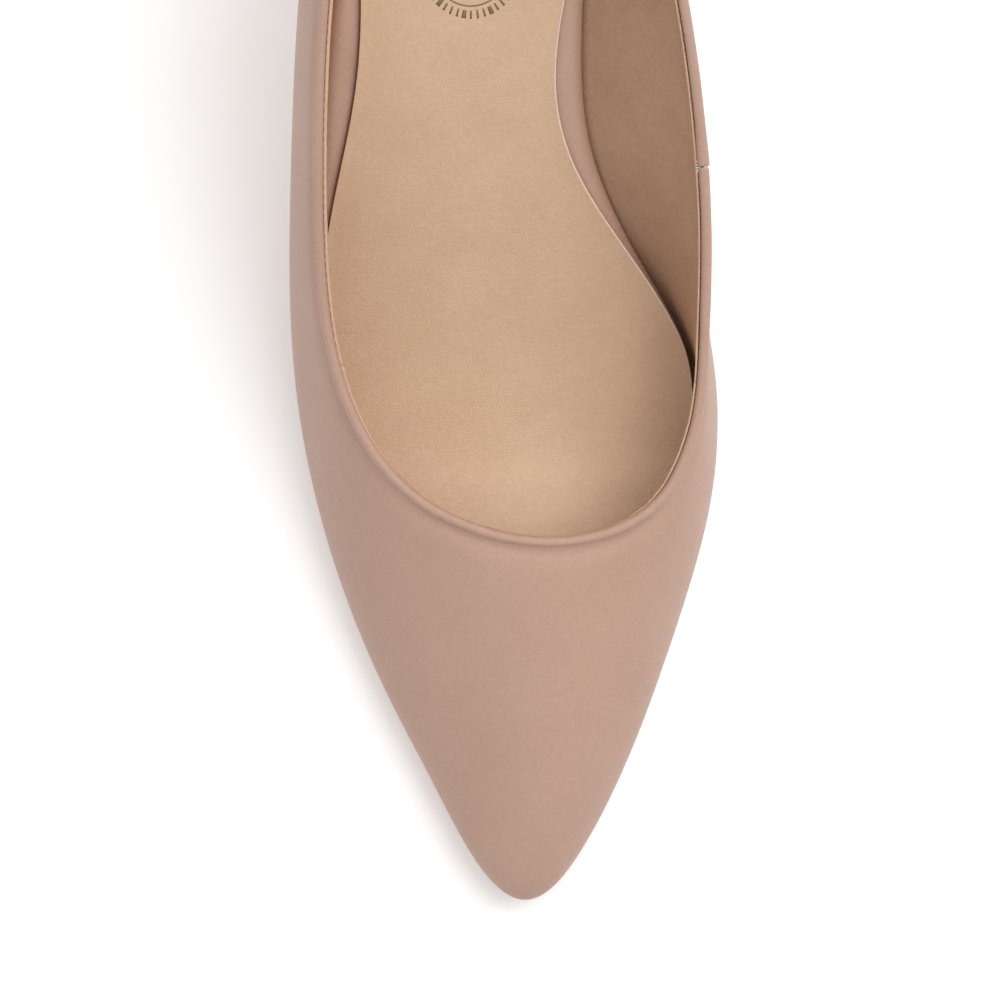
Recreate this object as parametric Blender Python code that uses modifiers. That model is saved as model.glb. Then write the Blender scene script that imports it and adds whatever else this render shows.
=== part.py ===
"""Pointed-toe high heel pump, right shoe, European size 37, modelled as its separate pieces.

Run with: blender --background --python part.py

Frame: +Z up, toe at -Y, heel at +Y, medial (arch) side at +X, lateral side at -X.
The shoe stands on z = 0 on its tread and its heel tip, and the origin is the centre of its footprint box.

How the shape is made.  A shoe is pulled over a last, so every layer follows one surface.  Two closed
loops describe it: the feather line F(u), where the upper turns under the foot, and the topline T(u),
the mouth of the shoe.  The wall between them is a cubic Bezier curve for each u,

    W(u, t) = (1-t)^3 F + 3 (1-t)^2 t (F + out.n + up.z) + 3 (1-t) t^2 (T + out.n - down.z) + t^3 T

and each layer of the upper is that wall moved inwards by its own depth.  The layers under the foot
follow the bottom of the last, whose height over the ground is bottom(a) at a millimetres from the toe.
All working lengths are millimetres; mesh points are scaled to metres when the mesh is made.
"""
import math

import bmesh
import bpy
import numpy as np

MM = 0.001

# ---------------------------------------------------------------- driving dimensions (mm)
ORIGIN_X = 0.0              # last centre line to the middle of the footprint box
ORIGIN_A = 119.7            # toe to the middle of the footprint box

SOLE_TOP = 3.0              # bottom of the last over the ground, at the tread
TREAD_START = 56.0          # flat tread, measured from the toe
TREAD_END = 82.0
TOE_SPRING = 4.5            # how far the toe lifts off the ground
SEAT_SLOPE = 0.26           # rise of the heel seat at the very back
ARCH = [(82, 3.0), (96, 5.7), (112, 13.0), (136, 29.0), (160, 46.0), (184, 60.5), (208, 70.5), (237, 79.0)]

# height of the topline's middle over the ground, at distances from the toe
TOPLINE = [(66, 35.9), (80, 37.6), (100, 44.0), (125, 58.0), (150, 75.6), (180, 97.0), (210, 117.6),
           (234, 135.3)]

GAP = 0.25                  # glue line between two layers
UPPER_THICK = 1.0           # nappa of the upper
FOLD_THICK = 0.5            # nappa skived down where it folds over at the topline
FOLD_RADIUS = 0.95          # rounded fold along the topline
FOLD_PROUD = 0.35           # how far the fold stands out from the wall
STIFF_THICK = 0.7           # toe puff, backing and heel counter
STIFF_DEPTH = 1.3           # outside of the stiffeners, from the outside of the upper
LINING_DEPTH = 2.25         # outside of the lining
LINING_THICK = 0.7
TAPE_THICK, TAPE_OUT = 0.2, -0.09      # tape inside the fold, out from the topline
SEAM_HALF = 0.017           # half the gap of a seam, in stations
MARGIN = 12.0               # lasting margin turned in under the foot

INSOLE_BASE = 2.3           # heights of the layers under the foot, over the last's bottom
INSOLE_THICK = 1.7
FOAM_BASE, FOAM_THICK = 5.0, 1.4
COVER_BASE, COVER_TOP, COVER_THICK = 4.5, 7.3, 0.6
SOCK_TOP, SOCK_THICK = 8.2, 0.6
OUTSOLE_THICK = 2.75        # forepart; the waist is skived to WAIST_FACTOR of it
WAIST_FACTOR = 0.68
SHANK_THICK, SHANK_RIB = 1.2, 0.75
SHANK_START, SHANK_END = 96.0, 217.0
FILLER_BASE, FILLER_THICK = 0.1, 1.8

SIDE_SEAM = 19.35           # loop positions of the seams, counted in stations from the toe
BACK_SEAM = 14.0
LINING_SEAM_LATERAL, LINING_SEAM_MEDIAL = 6.25, 21.75
COUNTER_START, COUNTER_END = 9.5, 18.3
PUFF_HALF = 2.9
PUFF_TOP, BACKING_TOP, COUNTER_TOP = 0.40, 0.86, 0.80
STIFF_FOOT = 0.09

HEEL_BREAST = 190.0         # front of the heel seat
HEEL_X = -4.5               # centre line of the heel
HEEL_COVER_THICK = 0.6
SEAT_GAP = 0.4              # glue between the heel and the upper
TIP_TOP = 6.2
TUBE_RADIUS, TUBE_BORE, TUBE_TOP, TUBE_FOOT = 2.5, 1.6, 44.0, 9.5
TUBE_A = 222.2
PIN_RADIUS, PIN_TOP = 1.3, 24.0
NAIL_RADIUS, NAIL_HEAD, NAIL_LENGTH = 1.0, 2.1, 16.0
SCREW_RADIUS, SCREW_HEAD, SCREW_LENGTH = 1.9, 3.4, 20.0
RIVET_RADIUS, RIVET_HEAD = 1.5, 2.6
CLEARANCE = 0.3             # round a fastener in its hole

# One row for each station of the two loops, going from the toe along the lateral side to the back and
# home along the medial side: feather x, a; topline x, a; Bezier handles out, up, out, down.
STATIONS = np.array([
    (3.6, 0.9, 9.3, 68.9, 7.0, 9.0, 31.0, 8.0),
    (-5.0, 8.4, 4.3, 69.1, 6.8, 9.2, 29.2, 8.2),
    (-13.0, 23.4, -1.6, 70.1, 6.5, 9.6, 24.8, 8.8),
    (-21.4, 39.8, -8.6, 72.5, 6.1, 10.0, 18.8, 9.5),
    (-28.7, 57.4, -16.6, 77.0, 5.7, 10.0, 13.2, 10.2),
    (-34.3, 76.6, -24.4, 85.2, 5.3, 10.0, 9.1, 10.7),
    (-37.6, 96.2, -30.5, 97.6, 5.0, 10.0, 6.4, 11.0),
    (-38.4, 115.6, -33.8, 113.6, 4.9, 10.0, 4.8, 11.2),
    (-37.3, 134.2, -34.5, 132.2, 5.5, 10.3, 4.1, 11.5),
    (-35.2, 153.0, -33.9, 152.2, 6.7, 11.0, 4.0, 12.1),
    (-32.8, 172.8, -32.1, 172.7, 7.6, 12.0, 4.0, 13.0),
    (-29.9, 192.2, -29.0, 192.9, 7.4, 12.7, 4.0, 14.2),
    (-25.9, 210.4, -24.4, 211.9, 6.7, 13.0, 4.0, 15.8),
    (-17.8, 228.2, -16.0, 226.2, 6.1, 13.0, 4.2, 17.2),
    (-4.5, 236.0, -4.0, 233.0, 6.0, 13.0, 4.5, 18.0),
    (8.8, 228.2, 10.0, 224.0, 6.1, 13.0, 4.2, 17.2),
    (17.9, 208.5, 19.8, 206.0, 6.6, 13.0, 3.6, 15.6),
    (17.2, 187.5, 26.9, 186.2, 7.0, 12.5, 2.4, 13.8),
    (15.3, 165.5, 32.2, 165.3, 7.4, 11.6, 1.2, 12.4),
    (16.6, 144.5, 35.5, 144.5, 7.3, 10.8, 0.4, 11.5),
    (25.4, 125.4, 37.0, 125.6, 5.8, 10.2, 0.4, 11.1),
    (36.6, 108.2, 37.0, 109.0, 2.4, 10.0, 0.7, 11.0),
    (39.1, 91.5, 36.3, 95.3, 2.7, 10.0, 2.6, 10.9),
    (36.9, 74.0, 33.6, 84.7, 3.5, 10.0, 5.6, 10.6),
    (31.9, 56.0, 29.3, 77.1, 3.7, 10.0, 10.0, 10.0),
    (26.1, 39.0, 23.9, 72.7, 4.6, 9.9, 16.4, 9.3),
    (19.9, 23.2, 18.6, 70.4, 5.6, 9.6, 23.0, 8.7),
    (12.0, 8.2, 13.7, 69.3, 6.4, 9.2, 28.6, 8.2),
])
LOOP = len(STATIONS)

# Sections of the heel from the seat down to the tip:
# breast a, breast z, back a, back z, half width, squareness of the back
HEEL_SECTIONS = np.array([
    (190.0, 62.6, 236.0, 78.3, 24.2, 2.1),
    (195.0, 57.0, 235.3, 72.5, 20.6, 2.1),
    (200.4, 50.3, 234.0, 64.0, 16.6, 2.15),
    (206.6, 41.4, 232.0, 52.0, 12.2, 2.2),
    (211.9, 31.0, 229.7, 38.0, 8.7, 2.3),
    (215.3, 20.5, 227.9, 23.5, 6.5, 2.4),
    (216.9, 12.0, 227.1, 12.6, 5.5, 2.5),
    (217.2, 6.5, 226.9, 6.5, 5.3, 2.5),
])


# ---------------------------------------------------------------- curves of the last
def solve_spline(knots, values, slope_start, slope_end):
    """Cubic spline with given end slopes, as a function of its knots' variable."""
    knots, values = np.asarray(knots, float), np.asarray(values, float)
    count, step = len(knots), np.diff(knots)
    rise = np.diff(values) / step
    matrix, right = np.zeros((count, count)), np.zeros(count)
    matrix[0, :2], right[0] = (2 * step[0], step[0]), 6 * (rise[0] - slope_start)
    matrix[-1, -2:], right[-1] = (step[-1], 2 * step[-1]), 6 * (slope_end - rise[-1])
    for i in range(1, count - 1):
        matrix[i, i - 1:i + 2] = step[i - 1], 2 * (step[i - 1] + step[i]), step[i]
        right[i] = 6 * (rise[i] - rise[i - 1])
    bend = np.linalg.solve(matrix, right)

    def value(x):
        i = np.clip(np.searchsorted(knots, x) - 1, 0, count - 2)
        after = (np.asarray(x, float) - knots[i]) / step[i]
        before = 1 - after
        cubic = (before**3 - before) * bend[i] + (after**3 - after) * bend[i + 1]
        return before * values[i] + after * values[i + 1] + step[i]**2 * cubic / 6
    return value


def ring_spline(rows):
    """Closed cubic spline through rows of numbers, one row for each unit of its parameter."""
    count = len(rows)
    identity = np.eye(count)
    matrix = 4 * identity + np.roll(identity, 1, 1) + np.roll(identity, -1, 1)
    bend = np.linalg.solve(matrix, 6 * (np.roll(rows, -1, 0) - 2 * rows + np.roll(rows, 1, 0)))

    def value(u):
        u = np.mod(np.asarray(u, float), count)
        i = np.minimum(np.floor(u).astype(int), count - 1)
        after = (u - i)[..., None]
        before, j = 1 - after, (i + 1) % count
        cubic = (before**3 - before) * bend[i] + (after**3 - after) * bend[j]
        return before * rows[i] + after * rows[j] + cubic / 6
    return value


# Every layer is sampled at the same places, so that its flat facets lie parallel to its neighbours'.
LOOP_STEPS = np.sort(np.concatenate([
    np.arange(2 * LOOP) / 2.0,
    (0.25, 0.75, LOOP - 0.25, LOOP - 0.75),             # the tight curve of the toe
    (5.25, 5.75, 6.25, 6.75, 20.75, 21.25, 21.75, 22.25),   # where the arch springs from the tread
]))
WALL_STEPS = np.array((0.05, 0.13, 0.25, 0.4, 0.56, 0.72, 0.86, 0.95))
FOOT_STEPS = np.concatenate([
    (4.0, 8.0, 14.0, 22.0, 34.0, 48.0, 62.0, 74.0), np.arange(81.0, 122.0, 5.0),
    (128.0, 138.0, 150.0, 163.0, 176.0, 189.0, 198.0, 207.0, 215.0, 222.0, 228.0, 232.0),
])

arch_height = solve_spline(*zip(*ARCH), 0.0, SEAT_SLOPE)
topline_height = solve_spline(*zip(*TOPLINE), 0.05, 0.76)
station_at = ring_spline(STATIONS)


def bottom(a):
    """Height of the last's bottom over the ground: toe spring, flat tread, arch and heel seat."""
    a = np.asarray(a, float)
    lift = TOE_SPRING * np.clip((TREAD_START - a) / TREAD_START, 0, None)**2
    return np.where(a < TREAD_END, SOLE_TOP + lift, arch_height(np.clip(a, TREAD_END, None)))


def slope(a):
    """Angle of the last's bottom to the ground at a."""
    return np.arctan((bottom(a + 0.5) - bottom(a - 0.5)))


def lifted(x, a, height):
    """The point square above the last's bottom at (x, a), by height."""
    x, a, height = np.broadcast_arrays(x, a, height)
    return np.stack([x, a - height * np.sin(slope(a)), bottom(a) + height * np.cos(slope(a))], -1)


def plan_normal(dx, da):
    """Unit normal, in plan, that points away from the foot on a loop that runs toe to lateral."""
    normal = np.stack([-da, dx], -1)
    return normal / np.linalg.norm(normal, axis=-1, keepdims=True)


def loops(u):
    """Feather point, topline point, their outward plan normals and the Bezier handles at u."""
    row = station_at(u)
    rate = station_at(u + 1e-3) - station_at(u - 1e-3)
    normal_f = plan_normal(rate[..., 0], rate[..., 1])
    normal_t = plan_normal(rate[..., 2], rate[..., 3])
    feather = np.stack([row[..., 0], row[..., 1], bottom(row[..., 1])], -1)
    topline = np.stack([row[..., 2], row[..., 3], topline_height(row[..., 3])], -1)
    return feather, topline, normal_f, normal_t, row[..., 4:]


def flat(normal, out, up):
    """A 3-D step of out along a plan normal and up along z."""
    out = np.broadcast_to(out, normal.shape[:-1])[..., None]
    up = np.broadcast_to(up, normal.shape[:-1])[..., None]
    return np.concatenate([normal * out, up], -1)


def at_topline(u, out, up):
    """A point near the topline: out square to the wall there, and up along it."""
    _, top, _, normal, handle = loops(u)
    reach = np.hypot(handle[..., 2], handle[..., 3])
    lean, rise = handle[..., 2] / reach, handle[..., 3] / reach
    return top + flat(normal, out * rise - up * lean, out * lean + up * rise)


def wall(u, t):
    """The outside of the upper between the feather line (t = 0) and the topline (t = 1)."""
    u, t = np.broadcast_arrays(np.asarray(u, float), np.asarray(t, float))
    start, _, normal_f, normal_t, handle = loops(u)
    end = at_topline(u, FOLD_RADIUS - FOLD_PROUD, -1.5)
    low = start + flat(normal_f, handle[..., 0], handle[..., 1])
    high = end + flat(normal_t, handle[..., 2], -handle[..., 3])
    t = t[..., None]
    s = 1 - t
    return s**3 * start + 3 * s * s * t * low + 3 * s * t * t * high + t**3 * end


def inside(u, t, depth):
    """The wall moved towards the foot by depth."""
    u, t = np.broadcast_arrays(np.asarray(u, float), np.asarray(t, float))
    along = wall(u + 1e-3, t) - wall(u - 1e-3, t)
    upward = wall(u, np.minimum(t + 1e-3, 1)) - wall(u, t - 1e-3)
    normal = np.cross(upward, along)
    normal /= np.linalg.norm(normal, axis=-1, keepdims=True)
    return wall(u, t) - normal * np.asarray(depth)[..., None]


def under(u, reach, height):
    """A point reach inside the feather line, under the foot, at height over the last's bottom."""
    start = loops(u)[0]
    a = np.clip(start[..., 1], 17.0, 218.0)
    aim = np.stack([centre_x(a), a], -1) - start[..., :2]
    span = np.linalg.norm(aim, axis=-1, keepdims=True)
    spot = start[..., :2] + aim / span * np.minimum(reach, 0.55 * span)
    return lifted(spot[..., 0], spot[..., 1], height)


def wall_inset(low, high):
    """How far the lining's inner face stands inside the feather line, between two heights."""
    u, t = ALL_ROUND[:, None], np.linspace(0.05, 0.5, 46)
    face = inside(u, t, LINING_DEPTH + LINING_THICK)
    tilt = slope(face[..., 1])
    height = (face[..., 2] - bottom(face[..., 1])) * np.cos(tilt)
    start, _, normal, _, _ = loops(ALL_ROUND)
    shift = start[:, None, :2] - np.stack([face[..., 0], face[..., 1] + height * np.sin(tilt)], -1)
    inset = (shift * normal[:, None]).sum(-1)
    found = [[np.interp(level, h, i) for level in (low, high)] for h, i in zip(height, inset)]
    return np.max(found, axis=1) + 2.4 * np.exp(-(start[:, 1] / 14.0)**2)


def sides(inset):
    """The feather line moved in by inset, as its range of a and its x on both sides at a."""
    start, _, normal, _, _ = loops(ALL_ROUND)
    spot = start[:, :2] - normal * inset[:, None]
    spot = np.roll(spot, -np.argmin(spot[:, 1]), 0)
    back = np.argmax(spot[:, 1])
    left, right = spot[:back + 1], np.vstack([spot[back:], spot[:1]])[::-1]

    def x_at(a):
        return np.interp(a, left[:, 1], left[:, 0]), np.interp(a, right[:, 1], right[:, 0])
    return left[0, 1], left[-1, 1], x_at


def constant(value):
    """An inset that is the same all round."""
    return np.full(len(ALL_ROUND), value)


def sock_inset():
    """The sock stops short of the insole cover's edge, most of all in the medial waist."""
    a = loops(ALL_ROUND)[0][:, 1]
    medial = 1.3 + 7.0 * np.exp(-((a - 156.0) / 29.0)**2)
    lateral = 1.9 + 5.8 * np.exp(-((a - 163.0) / 30.0)**2)
    step = np.where(ALL_ROUND > BACK_SEAM, medial, lateral)
    return wall_inset(COVER_TOP, SOCK_TOP) + step


ALL_ROUND = np.arange(20 * LOOP) / 20.0
_, _, foot_sides = sides(constant(0.0))


def centre_x(a):
    """Middle of the foot's bottom at a."""
    left, right = foot_sides(a)
    return (left + right) / 2


# ---------------------------------------------------------------- Blender helpers
def clear_scene():
    """Remove what the start-up file holds."""
    for thing in list(bpy.data.objects):
        bpy.data.objects.remove(thing, do_unlink=True)


def make_collection(name):
    """A new collection in the scene."""
    group = bpy.data.collections.new(name)
    bpy.context.scene.collection.children.link(group)
    return group


def make_material(name, colour, roughness, metallic=0.0):
    """A Principled material with a plain colour."""
    material = bpy.data.materials.new(name)
    material.use_nodes = True
    shader = material.node_tree.nodes["Principled BSDF"]
    shader.inputs["Base Color"].default_value = (*colour, 1.0)
    shader.inputs["Roughness"].default_value = roughness
    shader.inputs["Metallic"].default_value = metallic
    return material


def place(points):
    """Last coordinates (x, a, z) in mm as world coordinates in metres."""
    return (np.asarray(points, float) - (ORIGIN_X, ORIGIN_A, 0.0)) * MM


def link(name, data, finish, group):
    """An object for a mesh or curve, with its material, in its collection."""
    thing = bpy.data.objects.new(name, data)
    data.materials.append(make_material(name, *finish))
    group.objects.link(thing)
    return thing


def add_solidify(thing, thickness, factors=None):
    """Give an open surface its thickness, on the side its faces look away from."""
    solid = thing.modifiers.new("thickness", "SOLIDIFY")
    solid.thickness = thickness * MM
    solid.offset = -1.0
    solid.use_even_offset = True
    if factors is not None:
        group = thing.vertex_groups.new(name="skived")
        for index, factor in enumerate(np.ravel(factors)):
            group.add([index], float(factor), "REPLACE")
        solid.vertex_group = group.name


def sheet(name, grid, thickness, finish, group, factors=None):
    """A layer: an open grid of points (rows, columns, 3) with Solidify."""
    rows, columns = grid.shape[:2]
    number = np.arange(rows * columns).reshape(rows, columns)
    quads = np.stack([number[:-1, :-1], number[:-1, 1:], number[1:, 1:], number[1:, :-1]], -1)
    quads = quads.reshape(-1, 4)
    mesh = bpy.data.meshes.new(name)
    mesh.from_pydata(place(grid).reshape(-1, 3).tolist(), [], quads.tolist())
    mesh.shade_smooth()
    thing = link(name, mesh, finish, group)
    add_solidify(thing, thickness, factors)
    return thing


def loft(name, rings, finish, group, capped=True):
    """Skin over closed sections of equal point counts, from the top one to the bottom one."""
    count, around = rings.shape[:2]
    body = bmesh.new()
    verts = [[body.verts.new(p) for p in ring] for ring in place(rings)]
    for upper, lower in zip(verts[:-1], verts[1:]):
        for i in range(around):
            j = (i + 1) % around
            body.faces.new((upper[i], lower[i], lower[j], upper[j]))
    if capped:
        body.faces.new(verts[0])
        body.faces.new(verts[-1][::-1])
    mesh = bpy.data.meshes.new(name)
    bmesh.ops.recalc_face_normals(body, faces=body.faces)
    body.to_mesh(mesh)
    body.free()
    mesh.shade_smooth()
    mesh.set_sharp_from_angle(angle=math.radians(40))
    return link(name, mesh, finish, group)


def turned(name, profile, finish, group, steps=12):
    """A turned piece about local Z from its (radius, z) profile, which runs top to bottom."""
    mesh = bpy.data.meshes.new(name)
    points = [(radius * MM, 0.0, z * MM) for radius, z in profile]
    mesh.from_pydata(points, [(i, i + 1) for i in range(len(points) - 1)], [])
    thing = link(name, mesh, finish, group)
    screw = thing.modifiers.new("turn", "SCREW")
    screw.steps = screw.render_steps = steps
    screw.use_merge_vertices = True
    screw.merge_threshold = 0.00001
    screw.use_smooth_shade = True
    return thing


def stand(thing, x, a, height, tilt=0.0):
    """Put a turned piece at a point, its axis tilted about X."""
    thing.location = place((x, a, height))
    thing.rotation_euler = (tilt, 0.0, 0.0)
    return thing


def drill(thing, radius, x, a, low, high, tilt=0.0):
    """Cut a round hole, between two distances along its axis from the last's bottom or the ground."""
    bpy.ops.mesh.primitive_cylinder_add(vertices=16, radius=radius * MM, depth=(high - low) * MM)
    cutter = bpy.context.object
    cutter.name = "cut_" + thing.name
    base = 0.0 if tilt == 0.0 else float(bottom(a))
    middle = (low + high) / 2
    offset = np.array((0.0, -math.sin(tilt) * middle, base + math.cos(tilt) * middle))
    cutter.location = place(np.array((x, a, 0.0)) + offset)
    cutter.rotation_euler = (tilt, 0.0, 0.0)
    cutter.hide_render = True
    cutter.display_type = "WIRE"
    for holder in list(cutter.users_collection):
        holder.objects.unlink(cutter)
    CUTTERS.objects.link(cutter)
    cut = thing.modifiers.new("hole", "BOOLEAN")
    cut.operation = "DIFFERENCE"
    cut.solver = "EXACT"
    cut.object = cutter


# ---------------------------------------------------------------- the upper and its linings
def columns(start, end):
    """Loop positions from end back to start, clear of the seam gaps at both ends.

    They run against the loop so that the faces of a wall look away from the foot.
    """
    steps = np.concatenate([LOOP_STEPS - LOOP, LOOP_STEPS])
    steps = steps[(steps > start + 0.1) & (steps < end - 0.1)]
    return np.concatenate([[end - SEAM_HALF], steps[::-1], [start + SEAM_HALF]])


def upper_grid(u):
    """Outside of the upper: lasting margin, wall, then the fold that rounds the topline."""
    rows = [under(u, MARGIN, 0.0), under(u, 4.0, 0.0), wall(u, 0.0)]
    rows += [wall(u, t) for t in WALL_STEPS]
    for angle in np.radians((-32, 8, 50, 92, 134, 176)):
        rows.append(at_topline(u, FOLD_RADIUS * math.cos(angle), FOLD_RADIUS * math.sin(angle)))
    rows.append(at_topline(u, -FOLD_RADIUS - 0.05, -4.0))
    factors = np.full((len(rows), len(u)), 1.0)
    factors[-8:] = FOLD_THICK / UPPER_THICK
    factors[-9] = 0.8
    return np.array(rows), factors


def lining_grid(u):
    """Outside of the lining: its margin lies on the upper's, its top comes in against the fold."""
    shallow = 2 * FOLD_RADIUS - FOLD_PROUD + 0.4
    height = UPPER_THICK + 0.3
    rows = [under(u, MARGIN - 1.5, height), under(u, 5.0, height), under(u, 2.6, height)]
    for t in np.append(WALL_STEPS[1:], 0.985):
        close = np.clip((t - 0.72) / 0.2, 0, 1)
        rows.append(inside(u, t, LINING_DEPTH + (shallow - LINING_DEPTH) * close))
    return np.array(rows)


def stiffener_grid(start, end, low, high):
    """Outside of a stiffener that lies between the upper and the lining."""
    between = WALL_STEPS[(WALL_STEPS > low + 0.02) & (WALL_STEPS < high - 0.02)]
    u = columns(start, end)
    return np.array([inside(u, t, STIFF_DEPTH) for t in np.concatenate([[low], between, [high]])])


def build_upper(group):
    """The two leather pieces of the upper, joined by the side seam and the back seam."""
    nappa = ((0.52, 0.33, 0.26), 0.5)
    for name, start, end in (("vamp", SIDE_SEAM - LOOP, BACK_SEAM), ("medial_quarter", BACK_SEAM, SIDE_SEAM)):
        grid, factors = upper_grid(columns(start, end))
        sheet(name, grid, UPPER_THICK, nappa, group, factors)
    tape = columns(SIDE_SEAM - LOOP + 0.05, SIDE_SEAM - 0.05)
    band = np.array([at_topline(tape, TAPE_OUT, up) for up in (-3.0, -0.6)])
    sheet("topline_tape", band, TAPE_THICK, ((0.80, 0.78, 0.72), 0.8), group)


def build_linings(group):
    """Vamp lining and quarter lining, butted at a seam on each side of the ball."""
    tan = ((0.36, 0.22, 0.14), 0.6)
    ends = (("vamp_lining", LINING_SEAM_MEDIAL - LOOP, LINING_SEAM_LATERAL),
            ("quarter_lining", LINING_SEAM_LATERAL, LINING_SEAM_MEDIAL))
    for name, start, end in ends:
        sheet(name, lining_grid(columns(start, end)), LINING_THICK, tan, group)


def build_stiffeners(group):
    """Toe puff, heel counter, and the cloth backings that fill in between them."""
    lateral, medial = COUNTER_START - 0.1, COUNTER_END - LOOP + 0.1
    front = PUFF_HALF + 0.1
    puff, counter, cloth = (0.75, 0.72, 0.66), (0.62, 0.50, 0.36), (0.85, 0.84, 0.80)
    pieces = (
        ("toe_puff", puff, (-PUFF_HALF, PUFF_HALF, STIFF_FOOT, PUFF_TOP)),
        ("heel_counter", counter, (COUNTER_START, COUNTER_END, STIFF_FOOT, COUNTER_TOP)),
        ("vamp_backing", cloth, (-PUFF_HALF, PUFF_HALF, PUFF_TOP + 0.03, BACKING_TOP)),
        ("quarter_backing_lateral", cloth, (front, lateral, STIFF_FOOT, BACKING_TOP)),
        ("quarter_backing_medial", cloth, (medial, -front, STIFF_FOOT, BACKING_TOP)),
    )
    for name, colour, span in pieces:
        sheet(name, stiffener_grid(*span), STIFF_THICK, (colour, 0.8), group)


def build_threads(group):
    """The lockstitch under the topline fold, and the bar tack at the top of the side seam."""
    swing = np.where(np.arange(len(LOOP_STEPS)) % 2 == 0, 0.1, -0.1)
    add_wire("topline_thread", at_topline(LOOP_STEPS, -FOLD_RADIUS - 0.5, swing - 0.3), 0.14,
             ((0.20, 0.13, 0.09), 0.8), group, closed=True)
    reach = np.array((0.6, 1.2, 1.8))
    add_wire("side_seam_bartack", at_topline(np.full(3, SIDE_SEAM), -reach, 1.4), 0.2,
             ((0.85, 0.82, 0.78), 0.7), group)


def add_wire(name, points, radius, finish, group, closed=False):
    """A thread as a curve with a round section."""
    data = bpy.data.curves.new(name, "CURVE")
    data.dimensions = "3D"
    data.bevel_depth = radius * MM
    data.bevel_resolution = 1
    data.use_fill_caps = True
    path = data.splines.new("POLY")
    path.points.add(len(points) - 1)
    for point, spot in zip(path.points, place(points)):
        point.co = (*spot, 1.0)
    path.use_cyclic_u = closed
    return link(name, data, finish, group)


# ---------------------------------------------------------------- the layers under the foot
def shank_width(a):
    """Half width of the shank, which narrows towards the heel."""
    return 6.0 - (a - SHANK_START) / (SHANK_END - SHANK_START)


def foot_rows(start, end):
    """The shared distances from the toe between start and end, and those two."""
    steps = FOOT_STEPS[(FOOT_STEPS > start + 0.8) & (FOOT_STEPS < end - 0.8)]
    return np.concatenate([[start], steps, [end]])


def plate_grid(inset, height, start=None, end=None, rows=None, cols=6, trim=0.12):
    """A layer that fills the foot's outline, at height over the last's bottom."""
    toe, back, x_at = sides(inset)
    if rows is None:
        rows = foot_rows(toe + trim if start is None else start, back - trim if end is None else end)
    left, right = x_at(rows)
    x = left[:, None] + (right - left)[:, None] * np.linspace(0, 1, cols)
    return lifted(x, rows[:, None], height)


def strip_grid(width, height, rows, across):
    """A strip along the middle of the foot; across lists (share of half width, extra height)."""
    a, start, end = rows[:, None], SHANK_START, SHANK_END
    share, lift = (np.array(column) for column in zip(*across))
    x = centre_x(a) * 0.35 + HEEL_X * 0.65 * np.clip((a - start) / (end - start), 0, 1) + width(a) * share
    return lifted(x, a, height + lift)


def build_insole(group):
    """Insole board, foam, the cover wrapped round it and the sock on top."""
    board = sheet("insole_board", plate_grid(constant(3.7), INSOLE_BASE + INSOLE_THICK), INSOLE_THICK,
                  ((0.55, 0.42, 0.28), 0.9), group)
    room = wall_inset(COVER_BASE, COVER_TOP)
    sheet("insole_foam", plate_grid(room + COVER_THICK + 1.8, FOAM_BASE + FOAM_THICK, trim=1.5), FOAM_THICK,
          ((0.88, 0.84, 0.72), 0.95), group)
    toe, back, _ = sides(room + 0.9)
    rows = foot_rows(toe + 0.6, back - 0.6)
    top = plate_grid(room + 1.3, COVER_TOP, rows=rows)
    rim = plate_grid(room + 0.9, COVER_BASE, rows=np.concatenate([[toe + 0.12], rows, [back - 0.12]]))
    tray = np.concatenate([rim[:, :1], rim, rim[:, -1:]], axis=1)
    tray[1:-1, 1:-1] = top
    sheet("insole_cover", tray, COVER_THICK, ((0.50, 0.34, 0.26), 0.55), group)
    sheet("sock_lining", plate_grid(sock_inset(), SOCK_TOP, trim=1.2), SOCK_THICK,
          ((0.60, 0.42, 0.28), 0.5), group)
    return board


def build_bottom(group):
    """Outsole, forepart filler and the steel shank."""
    grid = plate_grid(constant(0.5), -GAP, end=HEEL_BREAST - 0.5)
    waist = np.clip((grid[..., 1] - TREAD_END) / 22.0, 0, 1)
    factors = 1 - (1 - WAIST_FACTOR) * waist * waist * (3 - 2 * waist)
    sheet("outsole", grid, OUTSOLE_THICK, ((0.45, 0.28, 0.17), 0.6), group, factors)
    filler = plate_grid(constant(13.6), FILLER_BASE + FILLER_THICK, start=34.0, end=91.0, cols=5)
    sheet("bottom_filler", filler, FILLER_THICK, ((0.50, 0.36, 0.22), 0.95), group)
    profile = [(-1.0, 0.0), (-0.45, 0.0), (-0.25, SHANK_RIB), (0.25, SHANK_RIB), (0.45, 0.0), (1.0, 0.0)]
    shank = strip_grid(shank_width, 0.05 + SHANK_THICK, foot_rows(SHANK_START, SHANK_END), profile)
    return sheet("steel_shank", shank, SHANK_THICK, ((0.55, 0.56, 0.58), 0.35, 1.0), group)


# ---------------------------------------------------------------- the heel
def heel_rings(inset, low_row, around=20):
    """Sections of the heel, each a flat breast and a rounded back, moved in by inset."""
    half = around // 2
    angle = np.linspace(0, math.pi, around - 3)
    rings = []
    for breast_a, breast_z, back_a, back_z, width, square in HEEL_SECTIONS[:low_row]:
        front, back, reach = breast_a + inset, back_a - inset, width - inset
        side = np.sign(np.cos(angle)) * np.abs(np.cos(angle))**(2 / square)
        rear = np.sin(angle)**(2 / square)
        x = np.concatenate([reach * side, reach * np.array((-0.5, 0.0, 0.5))])
        share = np.concatenate([rear, np.zeros(3)])
        a = front + (back - front) * share
        z = breast_z + (back_z - breast_z) * (a - breast_a) / (back_a - breast_a)
        rings.append(np.stack([HEEL_X + x, a, z], -1))
    return np.array(rings), half


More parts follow.
